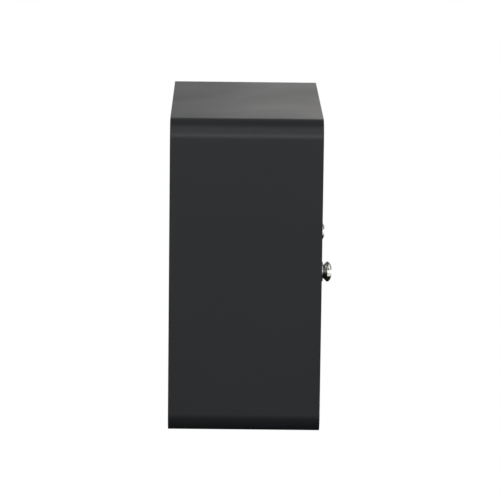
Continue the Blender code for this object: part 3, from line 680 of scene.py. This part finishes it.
lip = FRONT + 0.0170
outer_end, step, inner_end = -0.1120, -0.0970, -0.0900
keeper = [
    (outer_end, leg_face),
    (step, leg_face),
    (step, lip - SHEET),
    (inner_end, lip - SHEET),
    (inner_end, lip),
    (step - SHEET, lip),
    (step - SHEET, leg_face + SHEET),
    (outer_end, leg_face + SHEET),
]
keeper = eased(keeper, FOLD_EASE, closed=True)
ends = (LOCK[2] - CATCH_HALF_HEIGHT, LOCK[2] + CATCH_HALF_HEIGHT)
catch = pushed("lock_keeper", keeper, *ends, "Z")
carve(catch, [], bevel=FOLD_EDGE)
dress(catch, ZINC, "lock_catch")

cam_front, cam_back = (corner[1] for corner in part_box("lock_cam"))
blade = rounded_outline(0.006, 0.015, 0.0055, steps=12) + np.array([LOCK[0], LOCK[2] - 0.009])
cam = pushed("lock_cam_blade", blade, cam_front, cam_back, "Y")
cam_bore = hole_y("cam_cut", SCREW_HOLE, LOCK[0], LOCK[2], cam_front, cam_back, steps=32)
carve(cam, [cam_bore], bevel=0.0003)
dress(cam, ZINC, "lock_cam", "lock")


# ---- Shelf screws and cam screw ----
# Pan head screws of zinc plated steel with a cross recess, four through the shelf's flange and
# one that holds the cam on the plug. The recess is two crossed tapered slots.
SCREW_RADIUS = 0.002
HEAD_RISE = 0.0022
RECESS_HALF_WIDTH = 0.00035
RECESS_DEPTH = 0.0015


def cross_recess(name, at, half_length, depth, toward):
    """Two thin wedges at right angles about the screw's axis, their ends drawn in with depth."""
    thin = RECESS_HALF_WIDTH
    corners = np.array([(1, 1), (-1, 1), (-1, -1), (1, -1)])
    blades = []
    for turn in (0, 1):
        rings = []
        for reach, level in ((half_length * 1.1, -0.0010), (half_length * 0.35, depth)):
            a, b = (corners * ((thin, reach) if turn else (reach, thin))).T
            rings.append(on_axis("Y", a, b, np.full(4, toward * level), at))
        blades.append(skin(name + "_%d" % turn, np.array(rings)))
    return blades


def pan_screw(name, at, head, length, toward):
    """A pan head and a plain shank, turned about Y; the head's dome is a quarter ellipse."""
    dome = np.radians(np.linspace(90, 0, 7))
    chain = [(head * math.cos(a) + CORE, -toward * HEAD_RISE * math.sin(a)) for a in dome]
    chain += [(SCREW_RADIUS, 0.0), (SCREW_RADIUS, toward * length), (CORE, toward * length)]
    screw = revolve(name, chain, at, "Y", radius=0.0001, steps=48)
    face = (at[0], at[1] - toward * HEAD_RISE, at[2])
    return carve(screw, cross_recess(name + "_recess", face, head * 0.6, RECESS_DEPTH, toward))


for i, x in enumerate(SHELF_SCREWS, start=1):
    at = (x, -2 * SHEET - 2 * GAP, SHELF_SCREW_Z)
    screw = pan_screw("shelf_screw_pan_%d" % i, at, head=0.0040, length=0.0032, toward=1)
    dress(screw, ZINC, "shelf_screw_%d" % i)
cam_screw_at = (LOCK[0], cam_back + GAP, LOCK[2])
cam_screw = pan_screw("cam_screw_pan", cam_screw_at, head=0.0035, length=0.0075, toward=-1)
dress(cam_screw, ZINC, "cam_screw", "lock")


# ---- Hinge pins ----
# Headed steel pins, turned and zinc plated, pushed through the door's returns from inside so
# that their shanks stand in the brackets' holes.
pin_seat = OPENING_HALF_HEIGHT - DOOR_GAP - SHEET - GAP
pin_head = pin_seat - 0.0018
pin_tip = pin_seat + 0.0062
PIN_HEAD_RADIUS = 0.0032
for name, end in (("top", 1), ("bottom", -1)):
    chain = [
        (CORE, end * pin_head),
        (PIN_HEAD_RADIUS, end * pin_head),
        (PIN_HEAD_RADIUS, end * pin_seat),
        (PIN_RADIUS, end * pin_seat),
        (PIN_RADIUS, end * pin_tip),
        (CORE, end * pin_tip),
    ]
    pin = revolve(name + "_pivot_pin", chain, PIVOT, "Z", radius=0.0004, steps=40)
    dress(pin, ZINC, name + "_hinge_pin", "door")


# ---- Lock ----
# A small cam lock in nickel plated brass: a flanged barrel held in the door by a hexagon nut,
# and a plug with a plain keyway that turns the steel cam behind the catch.
NICKEL = finish(
    "nickel_plate", "nickel_plated_brass", (0.52, 0.50, 0.45), (0.66, 0.64, 0.59),
    (0.10, 0.20), (120.0, 1500.0, 18.0), dust=0.02, bump=0.000003, Metallic=1.0,
)
PLUG = 0.005
BARREL_BACK = 0.0165
BARREL_FLANGE = 0.0095
BARREL_FACE = -0.0013
PLUG_FACE = -0.0010
PLUG_BACK = BARREL_BACK + 0.0015
RUN_OUT = 0.0006
KEYWAY = (0.0008, 0.0032, 0.0003)


def threaded(radius, start, end, pitch=0.001, depth=0.0003):
    """The outline of a screw thread as even rings: the radius falls by the depth at the middle
    of each pitch and comes back at its end."""
    count = round(abs(end - start) / pitch)
    stations = np.linspace(start, end, 2 * count + 1)
    return [(radius - depth * (i % 2), float(t)) for i, t in enumerate(stations)]


barrel_chain = [
    (BARREL_FLANGE, BARREL_FACE),
    (BARREL_FLANGE, -GAP),
    (LOCK_BODY, -GAP),
    *threaded(LOCK_BODY, 0.0018, BARREL_BACK - 0.0007),
    (LOCK_BODY - RUN_OUT, BARREL_BACK),
    (PLUG + GAP, BARREL_BACK),
    (PLUG + GAP, BARREL_FACE),
]
barrel = revolve("lock_barrel_turned", barrel_chain, LOCK, "Y", bored=True)
dress(barrel, NICKEL, "lock_barrel", "door")
plug = revolve("lock_plug_turned", bar(PLUG, PLUG_FACE, PLUG_BACK), LOCK, "Y")
keyway_ends = [(0.0, FRONT - CUT_PAST), (0.0, FRONT + 0.010)]
keyway = skin("keyway_cut", around_y(keyway_ends, *KEYWAY, (LOCK[0], LOCK[2])))
tapping_ends = (BARREL_BACK - 0.0055, BARREL_BACK + 0.004)
tapping = drill("plug_tapping_cut", SCREW_HOLE, *tapping_ends, LOCK, "Y")
carve(plug, [keyway, tapping])
dress(plug, NICKEL, "lock_plug", "lock")


def hexagon_nut(name, at, axis, across, bore, thickness):
    """A hexagon nut: a six-sided ring whose corners are turned off by a 30 degree cone. The
    outer radius at angle a is half the width across flats over the cosine of the angle from the
    nearest flat, limited by the cone near both faces."""
    angle = np.linspace(0.0, 2 * math.pi, 96, endpoint=False)
    off_flat = (angle + math.pi / 6) % (math.pi / 3) - math.pi / 6
    hexagon = across / 2 / np.cos(off_flat)
    face = across / 2 * 0.98
    levels = np.array([0.0, 0.12, 0.28, 0.72, 0.88, 1.0]) * thickness
    rise = np.minimum(levels, thickness - levels)
    limit = face + rise * 1.9
    outer = np.minimum(hexagon, limit[:, None])
    inner = np.full((2, len(angle)), bore)
    radius = np.concatenate([outer, inner])
    t = np.concatenate([levels, [thickness, 0.0]])[:, None] + np.zeros_like(radius)
    points = on_axis(axis, radius * np.cos(angle), radius * np.sin(angle), t, at)
    return skin(name, points, closed=True, sharp=25.0)


nut_at = (LOCK[0], FRONT + SHEET + GAP, LOCK[2])
lock_nut = hexagon_nut("lock_hexagon_nut", nut_at, "Y", 0.0198, LOCK_BODY + GAP, 0.003)
dress(lock_nut, NICKEL, "lock_nut", "door")


# ---- Push buttons ----
# Solid turned knobs of polished stainless steel: a domed head with a coin slot across it, by
# which it unscrews from its stem, on a waisted neck above a thin collar and a plain guide.
POLISHED = finish(
    "polished_stainless", "polished_steel", (0.50, 0.49, 0.47), (0.58, 0.57, 0.55),
    (0.10, 0.17), (200.0, 2500.0, 30.0), dust=0.0, bump=0.0000015, Metallic=1.0,
)
RIM = 0.00965
RIM_AT = -0.0062
TIP_AT = -0.0106
NECK = 0.0065
COLLAR = 0.0095
NECK_TOP = -0.0024
COLLAR_TOP = -0.0019
GUIDE_END = 0.0120
SLOT_FLOOR = -0.0062
SLOT = (0.020, 0.0029, 0.0004)
BUTTON_AT = {side: (sign * BUTTON_X, FRONT, 0.0) for side, sign in SIDES}


def button_chain():
    """Down the head as a flattened quarter ellipse, in along the straight underside to the neck,
    and out to the collar and its guide."""
    angle = np.radians(np.linspace(86.0, 0.0, 22))
    height = RIM_AT + (TIP_AT - RIM_AT) * np.sin(angle)
    crown = np.stack([RIM * np.cos(angle) ** 0.9, height], axis=1)
    rest = [
        (RIM, RIM_AT + 0.0005),
        (NECK, NECK_TOP),
        (NECK, COLLAR_TOP),
        (COLLAR, COLLAR_TOP),
        (COLLAR, GUIDE_END),
        (CORE, GUIDE_END),
    ]
    return np.concatenate([[(CORE, TIP_AT)], crown, rest])


for side, at in BUTTON_AT.items():
    button = revolve(side + "_button_turned", button_chain(), at, "Y", radius=0.00022, steps=128)
    slot_section = [(0.0, FRONT - 0.020), (0.0, FRONT + SLOT_FLOOR)]
    slot_cut = skin(side + "_slot_cut", around_y(slot_section, *SLOT, (at[0], at[2])))
    carve(button, [slot_cut], bevel=0.00016)
    dress(button, POLISHED, side + "_button", side + "_plunger")


# ---- Button bushes ----
# Turned brass sleeves, nickel plated, that guide the buttons. A thin rim rests on the front, a
# hexagon nut draws it up from behind, and the pump screws on to the stepped back end.
GUIDE_BORE = 0.0099
PUMP_BORE = 0.012
PUMP_START = 0.0283
STEM = 0.004
BUSH_RIM = 0.015
BUSH_FACE = -0.0009
GUIDE_FLOOR = 0.033
BUSH_BACK = 0.036
bush_chain = [
    (GUIDE_BORE, BUSH_FACE),
    (BUSH_RIM, BUSH_FACE),
    (BUSH_RIM, -GAP),
    (BUSH, -GAP),
    *threaded(BUSH, 0.0018, 0.0208),
    (BUSH - RUN_OUT, 0.0213),
    (BUSH - RUN_OUT, PUMP_START - GAP),
    (PUMP_BORE - GAP, PUMP_START - GAP),
    (PUMP_BORE - GAP, BUSH_BACK),
    (STEM + GAP, BUSH_BACK),
    (STEM + GAP, GUIDE_FLOOR),
    (GUIDE_BORE, GUIDE_FLOOR),
]
for side, at in BUTTON_AT.items():
    bush = revolve(side + "_bush_turned", bush_chain, at, "Y", bored=True, steps=96)
    dress(bush, NICKEL, side + "_button_bush")
    nut_at = (at[0], FRONT + SHEET + GAP, at[2])
    nut = hexagon_nut(side + "_bush_hexagon_nut", nut_at, "Y", 0.0300, BUSH + GAP, 0.005)
    dress(nut, NICKEL, side + "_bush_nut")


# ---- Pumps ----
# Cylinders moulded in white acetal, each with a feed spigot behind and an outlet spigot below.
# Raised rings stiffen both ends, and the spigots end in barbs that hold the hoses.
ACETAL = finish(
    "white_acetal", "pump_acetal", (0.70, 0.70, 0.67), (0.78, 0.78, 0.75),
    (0.32, 0.46), (500.0, 2200.0, 14.0), dust=0.08, bump=0.000010, Subsurface_Weight=0.08,
)
PUMP = 0.015
PUMP_WALL = 0.086
PUMP_END = 0.093
SPIGOT_END = 0.105
PORT = 0.005
PORT_BORE = 0.0025
PORT_DEPTH = 0.080
PORT_DROP = 0.026
PORT_ROOT = -0.0135
RELIEF = 0.0008
BARB_LENGTH = 0.005
BARB_TAPER = 0.0010


def spigot_chain(root, end):
    """A spigot as a solid: it thins a little from its root, and steps out to a tapered barb."""
    barb = end - math.copysign(BARB_LENGTH, end)
    rise = [(PORT, root), (PORT - RELIEF, barb), (PORT, barb), (PORT - BARB_TAPER, end)]
    return [(CORE, root), *rise, (CORE, end)]


pump_chain = [
    (PUMP_BORE, PUMP_START),
    (PUMP, PUMP_START),
    (PUMP, PUMP_START + 0.007),
    (PUMP - RELIEF, PUMP_START + 0.008),
    (PUMP - RELIEF, PUMP_END - 0.006),
    (PUMP, PUMP_END - 0.005),
    (PUMP, PUMP_END),
    *spigot_chain(PUMP_END, SPIGOT_END)[1:-1],
    (PORT_BORE, SPIGOT_END),
    (PORT_BORE, PUMP_WALL),
    (PUMP_BORE, PUMP_WALL),
]
pump_shape = {"axis": "Y", "radius": 0.0004, "bored": True, "steps": 64}
outlet_chain = spigot_chain(PORT_ROOT, -PORT_DROP)[::-1]
outlet_ends = (-PORT_DROP - 0.004, -0.006)
for side, at in BUTTON_AT.items():
    pump = revolve(side + "_pump_cylinder", pump_chain, at, **pump_shape)
    port_at = (at[0], FRONT + PORT_DEPTH, at[2])
    spigot = revolve(side + "_outlet_spigot", outlet_chain, port_at, "Z", radius=0.0002, steps=40)
    carve(pump, [spigot], "UNION")
    carve(pump, [drill(side + "_outlet_bore", PORT_BORE, *outlet_ends, port_at, "Z", steps=32)])
    dress(pump, ACETAL, side + "_pump_body")


# ---- Plungers ----
# Inside each pump the stem, plated steel, carries an acetal piston with a ring seal of black
# nitrile rubber in its groove. They move with the button.
NITRILE = finish(
    "nitrile_rubber", "seal_rubber", (0.012, 0.012, 0.013), (0.022, 0.022, 0.022),
    (0.50, 0.66), (700.0, 2600.0, 25.0), dust=0.03, bump=0.000012,
)
PISTON_FACE = 0.0365
PISTON_BACK = PISTON_FACE + 0.010
PISTON = PUMP_BORE - 0.0004
GROOVE = 0.0094
GROOVE_ENDS = (PISTON_FACE + 0.0034, PISTON_FACE + 0.0066)
STEM_START = 0.0123
STEM_END = PISTON_FACE - GAP
RING = (0.00115, 0.0012)
stem_chain = bar(STEM, STEM_START, STEM_END)
piston_chain = [
    (CORE, PISTON_FACE),
    (PISTON, PISTON_FACE),
    (PISTON, GROOVE_ENDS[0]),
    (GROOVE, GROOVE_ENDS[0]),
    (GROOVE, GROOVE_ENDS[1]),
    (PISTON, GROOVE_ENDS[1]),
    (PISTON, PISTON_BACK),
    (CORE, PISTON_BACK),
]
turn = np.linspace(0, 2 * math.pi, 20, endpoint=False)
ring_radius = (GROOVE + PUMP_BORE) / 2 + RING[0] * np.cos(turn)
ring_chain = np.stack([ring_radius, sum(GROOVE_ENDS) / 2 + RING[1] * np.sin(turn)], axis=1)
for side, at in BUTTON_AT.items():
    body = side + "_plunger"
    stem = revolve(side + "_stem_turned", stem_chain, at, "Y", radius=0.0005, steps=48)
    dress(stem, ZINC, side + "_stem", body)
    piston = revolve(side + "_piston_moulded", piston_chain, at, "Y", steps=64)
    dress(piston, ACETAL, side + "_piston", body)
    seal = revolve(side + "_ring_seal", ring_chain, at, "Y", radius=0.0, bored=True, steps=64)
    dress(seal, NITRILE, side + "_piston_seal", body)


# ---- Return springs ----
# Open coils of bright stainless wire with closed ends, that press the piston and its button
# forward. They stay against the pump's back wall and close up as the button goes in; here
# they are drawn at rest, each with a mesh of its own.
SPRING_WIRE = finish(
    "bright_spring_wire", "spring_steel", (0.50, 0.50, 0.50), (0.62, 0.62, 0.61),
    (0.14, 0.24), (300.0, 1800.0, 60.0), dust=0.0, bump=0.000002, Metallic=1.0,
)
COIL = 0.0085
WIRE = 0.0009
TURNS = 6
# The part of a turn at each end over which the coils lie close.
CLOSED = 0.8


def tube(name, path, radius, around):
    """A round bar along a path: at each point a circle lies across the path's direction, in a
    pair of axes carried along by taking out of the last normal its part along the path."""
    path = np.asarray(path, float)
    direction = np.gradient(path, axis=0)
    direction /= np.linalg.norm(direction, axis=1)[:, None]
    normal = np.cross(direction[0], (0.317, 0.211, 0.925))
    normals = np.zeros_like(path)
    for i, along in enumerate(direction):
        normal = normal - along * (normal @ along)
        normal = normal / np.linalg.norm(normal)
        normals[i] = normal
    sideways = np.cross(direction, normals)
    angle = np.linspace(0.0, 2 * math.pi, around, endpoint=False)
    ring = normals[:, None, :] * np.cos(angle)[:, None]
    ring += sideways[:, None, :] * np.sin(angle)[:, None]
    return skin(name, path[:, None, :] + radius * ring)


def coil_path(at, low, high):
    """A helix about Y whose first and last turns lie close: the distance rises slowly over the
    closed part at each end and evenly between."""
    turned = np.linspace(0.0, TURNS, TURNS * 40 + 1)
    angle = turned * 2 * math.pi
    rise = 2.1 * WIRE * CLOSED
    distance = low + rise * np.minimum(turned / CLOSED, 1.0)
    between = np.clip((turned - CLOSED) / (TURNS - 2 * CLOSED), 0.0, 1.0)
    distance += (high - low - 2 * rise) * between
    distance += rise * np.clip((turned - (TURNS - CLOSED)) / CLOSED, 0.0, 1.0)
    return on_axis("Y", COIL * np.cos(angle), COIL * np.sin(angle), distance, at)


low = PISTON_BACK + GAP + WIRE
high = PUMP_WALL - GAP - WIRE
for side, at in BUTTON_AT.items():
    spring = tube(side + "_coil_spring", coil_path(at, low, high), WIRE, around=12)
    dress(spring, SPRING_WIRE, side + "_return_spring")
    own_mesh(spring)


# ---- Valves ----
# Duckbills moulded in black rubber: a round flange and a bill that thins to a slit. One closes
# each pump's inlet, and one each nozzle's mouth so that it doesn't drip.


def duckbill(name, at, axis, flange, chain, bill):
    """Circles along the flange, then along the bill ellipses whose one half-width falls to the
    slit's while the other stays: rings scaled by two widths at each distance."""
    angle = np.linspace(0.0, 2 * math.pi, 48, endpoint=False)
    rings = []
    for half_a, half_b, t in [(flange, flange, t) for t in chain] + bill:
        along = np.full_like(angle, t)
        rings.append(on_axis(axis, half_a * np.cos(angle), half_b * np.sin(angle), along, at))
    return skin(name, np.array(rings))


wall = PUMP_WALL - GAP
inlet_bill = [
    (0.0032, 0.0032, wall - 0.0022),
    (0.0030, 0.0026, wall - 0.0040),
    (0.0029, 0.0004, wall - 0.0090),
]
drip_bill = [(0.0031, 0.0031, -0.0012), (0.0028, 0.0022, -0.0022), (0.0027, 0.0004, -0.0036)]
NOZZLE_AT = {side: (sign * BUTTON_X, NOZZLE_Y, -HEIGHT / 2) for side, sign in SIDES}
for side, at in BUTTON_AT.items():
    ends = (wall, wall - 0.0019)
    inlet = duckbill(side + "_inlet_duckbill", at, "Y", 0.0048, ends, inlet_bill)
    dress(inlet, NITRILE, side + "_inlet_valve")
    ends = (0.0007, -0.0010)
    drip = duckbill(side + "_drip_duckbill", NOZZLE_AT[side], "Z", 0.0043, ends, drip_bill)
    dress(drip, NITRILE, side + "_drip_valve")


# ---- Nozzles ----
# White acetal spouts, each pushed up through the casing from below against its flange and held
# by a hexagon nut inside; the barb above the thread takes the hose from the pump.
NOZZLE_MOUTH = 0.0046
NOZZLE_BORE = 0.0022
NOZZLE_LIP = -0.0040
NOZZLE_FLANGE = 0.0095
FLANGE_FACE = -0.0021
THREAD_TOP = 0.0130
NOZZLE_NECK = 0.0034
NOZZLE_BARB = 0.0190
NOZZLE_TOP = 0.0240
MOUTH_FLOOR = 0.0010
nozzle_chain = [
    (NOZZLE_MOUTH, NOZZLE_LIP),
    (0.0062, NOZZLE_LIP),
    (0.0065, FLANGE_FACE),
    (NOZZLE_FLANGE, FLANGE_FACE),
    (NOZZLE_FLANGE, -GAP),
    (NOZZLE_THREAD, -GAP),
    *threaded(NOZZLE_THREAD, 0.0018, 0.0128),
    (NOZZLE_THREAD - RUN_OUT, THREAD_TOP),
    (NOZZLE_NECK, THREAD_TOP),
    (NOZZLE_NECK, NOZZLE_BARB),
    (0.0042, NOZZLE_BARB),
    (0.0032, NOZZLE_TOP),
    (NOZZLE_BORE, NOZZLE_TOP),
    (NOZZLE_BORE, MOUTH_FLOOR),
    (NOZZLE_MOUTH, MOUTH_FLOOR),
]
for side, at in NOZZLE_AT.items():
    nozzle = revolve(side + "_spout", nozzle_chain, at, "Z", bored=True, steps=64)
    dress(nozzle, ACETAL, side + "_nozzle")
    nut_at = (at[0], at[1], at[2] + SHEET + GAP)
    nut = hexagon_nut(side + "_spout_nut", nut_at, "Z", 0.0198, NOZZLE_THREAD + GAP, 0.005)
    dress(nut, ACETAL, side + "_nozzle_nut")


# ---- Tanks ----
# Blow moulded in natural polyethylene: a milky wall 2.5 mm thick with soft edges, a flat deck, a
# raised filler mouth near the front, two lugs for the lid's pin and a spigot low on the outside.
POLYETHYLENE = finish(
    "natural_polyethylene", "tank_polyethylene", (0.78, 0.78, 0.74), (0.86, 0.86, 0.82),
    (0.34, 0.48), (90.0, 900.0, 10.0), dust=0.06,
    bump=0.000030, Subsurface_Weight=0.20, Transmission_Weight=0.15,
)
TANK_X = 0.042
TANK_Y = -0.074
TANK_TOP = 0.080
WALL = 0.0025
# Half width, half depth and corner radius, outside and inside the wall.
FOOT, FOOT_INSIDE = (0.030, 0.036, 0.008), (0.0275, 0.0335, 0.0060)
TANK, TANK_INSIDE = (0.038, 0.044, 0.010), (0.0355, 0.0415, 0.0075)
MOUTH, MOUTH_INSIDE = (0.024, 0.016, 0.007), (0.0215, 0.0135, 0.0045)
MOUTH_Y = -0.094
MOUTH_TOP = 0.090
HINGE_Y = -0.071
HINGE_Z = 0.088
TANK_PORT_Y = -0.048
TANK_PORT_Z = -0.086
TANK_PORT_ROOT = 0.0788
TANK_PORT_END = 0.092
LUG_ENDS = (0.0085, 0.0120)
LUG = (0.0035, 0.0065, 0.0033)
LUG_MIDDLE = (HINGE_Y, TANK_TOP + 0.0053)
LID_PIN_HOLE = 0.0018
TANK_EASE = [0, 0.005, 0.005, 0.0015, 0.0008, 0.0008, 0.001, 0.004, 0.004, 0]


def stacked(name, levels, x, radius):
    """Rounded outlines stacked along Z: each (half width, half depth, corner, y, z) point of the
    eased chain gives one ring."""
    rings = []
    for half_width, half_depth, corner, y, z in eased(levels, radius, steps=4):
        a, b = (rounded_outline(half_width, half_depth, corner, steps=10) + np.array([x, y])).T
        rings.append(on_axis("Z", a, b, np.full(len(a), z)))
    return skin(name, np.array(rings))


def block_x(name, x_low, x_high, half_y, half_z, corner, center):
    """A block along X with a rounded outline in Y and Z."""
    outline = rounded_outline(half_y, half_z, corner, steps=10, guard=0.0001)
    return pushed(name, outline + np.asarray(center), x_low, x_high, "X")


# Up the outside from the foot to the mouth, then down the inside to the floor.
tank_levels = [
    (*FOOT, TANK_Y, TANK_BOTTOM),
    (*TANK, TANK_Y, TANK_BOTTOM),
    (*TANK, TANK_Y, TANK_TOP),
    (*MOUTH, MOUTH_Y, TANK_TOP),
    (*MOUTH, MOUTH_Y, MOUTH_TOP),
    (*MOUTH_INSIDE, MOUTH_Y, MOUTH_TOP),
    (*MOUTH_INSIDE, MOUTH_Y, TANK_TOP - WALL),
    (*TANK_INSIDE, TANK_Y, TANK_TOP - WALL),
    (*TANK_INSIDE, TANK_Y, TANK_BOTTOM + WALL),
    (*FOOT_INSIDE, TANK_Y, TANK_BOTTOM + WALL),
]
port_at = (0.0, TANK_PORT_Y, TANK_PORT_Z)
for side, sign in SIDES:
    x = sign * TANK_X
    tank = stacked(side + "_tank_moulded", tank_levels, x, TANK_EASE)
    lugs = []
    for offset in (-1, 1):
        ends = sorted(x + offset * reach for reach in LUG_ENDS)
        lugs.append(block_x("%s_lug_%d" % (side, offset), *ends, *LUG, LUG_MIDDLE))
    chain = spigot_chain(sign * TANK_PORT_ROOT, sign * TANK_PORT_END)
    lugs.append(revolve(side + "_feed_spigot", chain, port_at, "X", radius=0.0002, steps=40))
    carve(tank, lugs, "UNION")
    hinge_at = (x, HINGE_Y, HINGE_Z)
    bores = [drill(side + "_lug_bore", LID_PIN_HOLE, -0.014, 0.014, hinge_at, "X", steps=32)]
    ends = (sign * 0.0740, sign * 0.0960)
    bores.append(drill(side + "_feed_bore", PORT_BORE, *ends, port_at, "X", steps=32))
    carve(tank, bores)
    dress(tank, POLYETHYLENE, side + "_tank")


# ---- Filler lids ----
# Black polypropylene flaps, each with a plug that fits the tank's mouth, a raised rim and a
# knuckle that turns on a steel pin between the tank's lugs.
POLYPROPYLENE = finish(
    "black_polypropylene", "lid_plastic", (0.018, 0.019, 0.021), (0.030, 0.031, 0.033),
    (0.42, 0.55), (600.0, 2000.0, 12.0), dust=0.12, bump=0.000020,
)
LID_EASE = [0, 0.0006, 0.0002, 0.0004, 0.0006, 0.0003, 0.0003, 0]
PLUG_FOOT, LID_PLUG = (0.017, 0.009, 0.002), (0.0212, 0.0132, 0.004)
FLAP, RIM_INSIDE = (0.026, 0.018, 0.008), (0.0245, 0.0165, 0.0065)
PANEL, PANEL_MIDDLE = (0.0240, 0.0160, 0.0060), (0.018, 0.010, 0.003)
TONGUE = (0.0035, 0.0009, 0.0003)
KNUCKLE = 0.003
KNUCKLE_END = 0.008
LID_PIN = 0.0015
LID_PIN_END = 0.0125
plug_foot = MOUTH_TOP - 0.004
under = MOUTH_TOP + GAP
rim = MOUTH_TOP + 0.0028
panel_top = MOUTH_TOP + 0.0022
# Up the plug, out under the flap, over its rim and in to the sunk panel on top.
lid_levels = [
    (*PLUG_FOOT, MOUTH_Y, plug_foot),
    (*LID_PLUG, MOUTH_Y, plug_foot),
    (*LID_PLUG, MOUTH_Y, under),
    (*FLAP, MOUTH_Y, under),
    (*FLAP, MOUTH_Y, rim),
    (*RIM_INSIDE, MOUTH_Y, rim),
    (*PANEL, MOUTH_Y, panel_top),
    (*PANEL_MIDDLE, MOUTH_Y, panel_top),
]
tongue_middle = ((MOUTH_Y + FLAP[1] + HINGE_Y) / 2 - 0.0005, MOUTH_TOP + 0.0015)
knuckle_chain = bar(KNUCKLE, -KNUCKLE_END, KNUCKLE_END)
pin_chain = bar(LID_PIN, -LID_PIN_END, LID_PIN_END)
for side, sign in SIDES:
    at = (sign * TANK_X, HINGE_Y, HINGE_Z)
    lid = stacked(side + "_lid_moulded", lid_levels, at[0], LID_EASE)
    sides = (at[0] - KNUCKLE_END, at[0] + KNUCKLE_END)
    tongue = block_x(side + "_tongue", *sides, *TONGUE, tongue_middle)
    knuckle = revolve(side + "_knuckle", knuckle_chain, at, "X", steps=48)
    carve(lid, [tongue, knuckle], "UNION")
    carve(lid, [drill(side + "_lid_bore", LID_PIN_HOLE, -0.012, 0.012, at, "X", steps=32)])
    dress(lid, POLYPROPYLENE, side + "_filler_lid", side + "_lid")
    pin = revolve(side + "_lid_wire", pin_chain, at, "X", steps=32)
    dress(pin, ZINC, side + "_lid_pin")


# ---- Hoses ----
# Clear vinyl tube with a faint straw tint: one feeds each pump from its tank, and one takes the
# soap down to the nozzle. Both are cut to length and pushed on to their spigots.
VINYL = finish(
    "clear_vinyl", "hose_vinyl", (0.70, 0.72, 0.66), (0.78, 0.79, 0.73),
    (0.12, 0.22), (60.0, 700.0, 20.0), dust=0.04,
    bump=0.000008, Transmission_Weight=0.45, IOR=1.5,
)
FEED_HOSE = 0.0045
DELIVERY_HOSE = 0.004


def smooth_path(points, count=16):
    """A quadratic B-spline through the middle of each leg of the route, held at both ends: each
    inner point pulls a curve from the middle of the leg before it to the middle of the next."""
    points = np.asarray(points, float)
    middles = (points[:-1] + points[1:]) / 2
    starts = np.concatenate([points[:1], middles[1:-1]])[:, None, :]
    ends = np.concatenate([middles[1:-1], points[-1:]])[:, None, :]
    pulls = points[1:-1, None, :]
    t = np.linspace(0.0, 1.0, count, endpoint=False)[None, :, None]
    curve = (1 - t) ** 2 * starts + 2 * t * (1 - t) * pulls + t ** 2 * ends
    return np.concatenate([curve.reshape(-1, 3), points[-1:]])


for side, sign in SIDES:
    x = sign * BUTTON_X
    start = FRONT + SPIGOT_END + GAP
    feed_route = [
        (x, start, 0.0),
        (x, start + 0.013, 0.0),
        (x, start + 0.020, -0.010),
        (x, start + 0.018, -0.045),
        (x, TANK_PORT_Y + 0.010, TANK_PORT_Z + 0.004),
        (sign * 0.1060, TANK_PORT_Y, TANK_PORT_Z),
        (sign * (TANK_PORT_END + GAP), TANK_PORT_Y, TANK_PORT_Z),
    ]
    feed = tube(side + "_feed_tube", smooth_path(feed_route), FEED_HOSE, around=32)
    dress(feed, VINYL, side + "_feed_hose")
    pump_y = FRONT + PORT_DEPTH
    nozzle_end = -HEIGHT / 2 + NOZZLE_TOP + GAP
    delivery_route = [
        (x, pump_y, -PORT_DROP - GAP),
        (x, pump_y, -PORT_DROP - GAP - 0.018),
        (x, pump_y - 0.004, -0.065),
        (x, NOZZLE_Y + 0.004, -0.090),
        (x, NOZZLE_Y, nozzle_end + 0.016),
        (x, NOZZLE_Y, nozzle_end),
    ]
    delivery = tube(side + "_delivery_tube", smooth_path(delivery_route), DELIVERY_HOSE, around=32)
    dress(delivery, VINYL, side + "_delivery_hose")
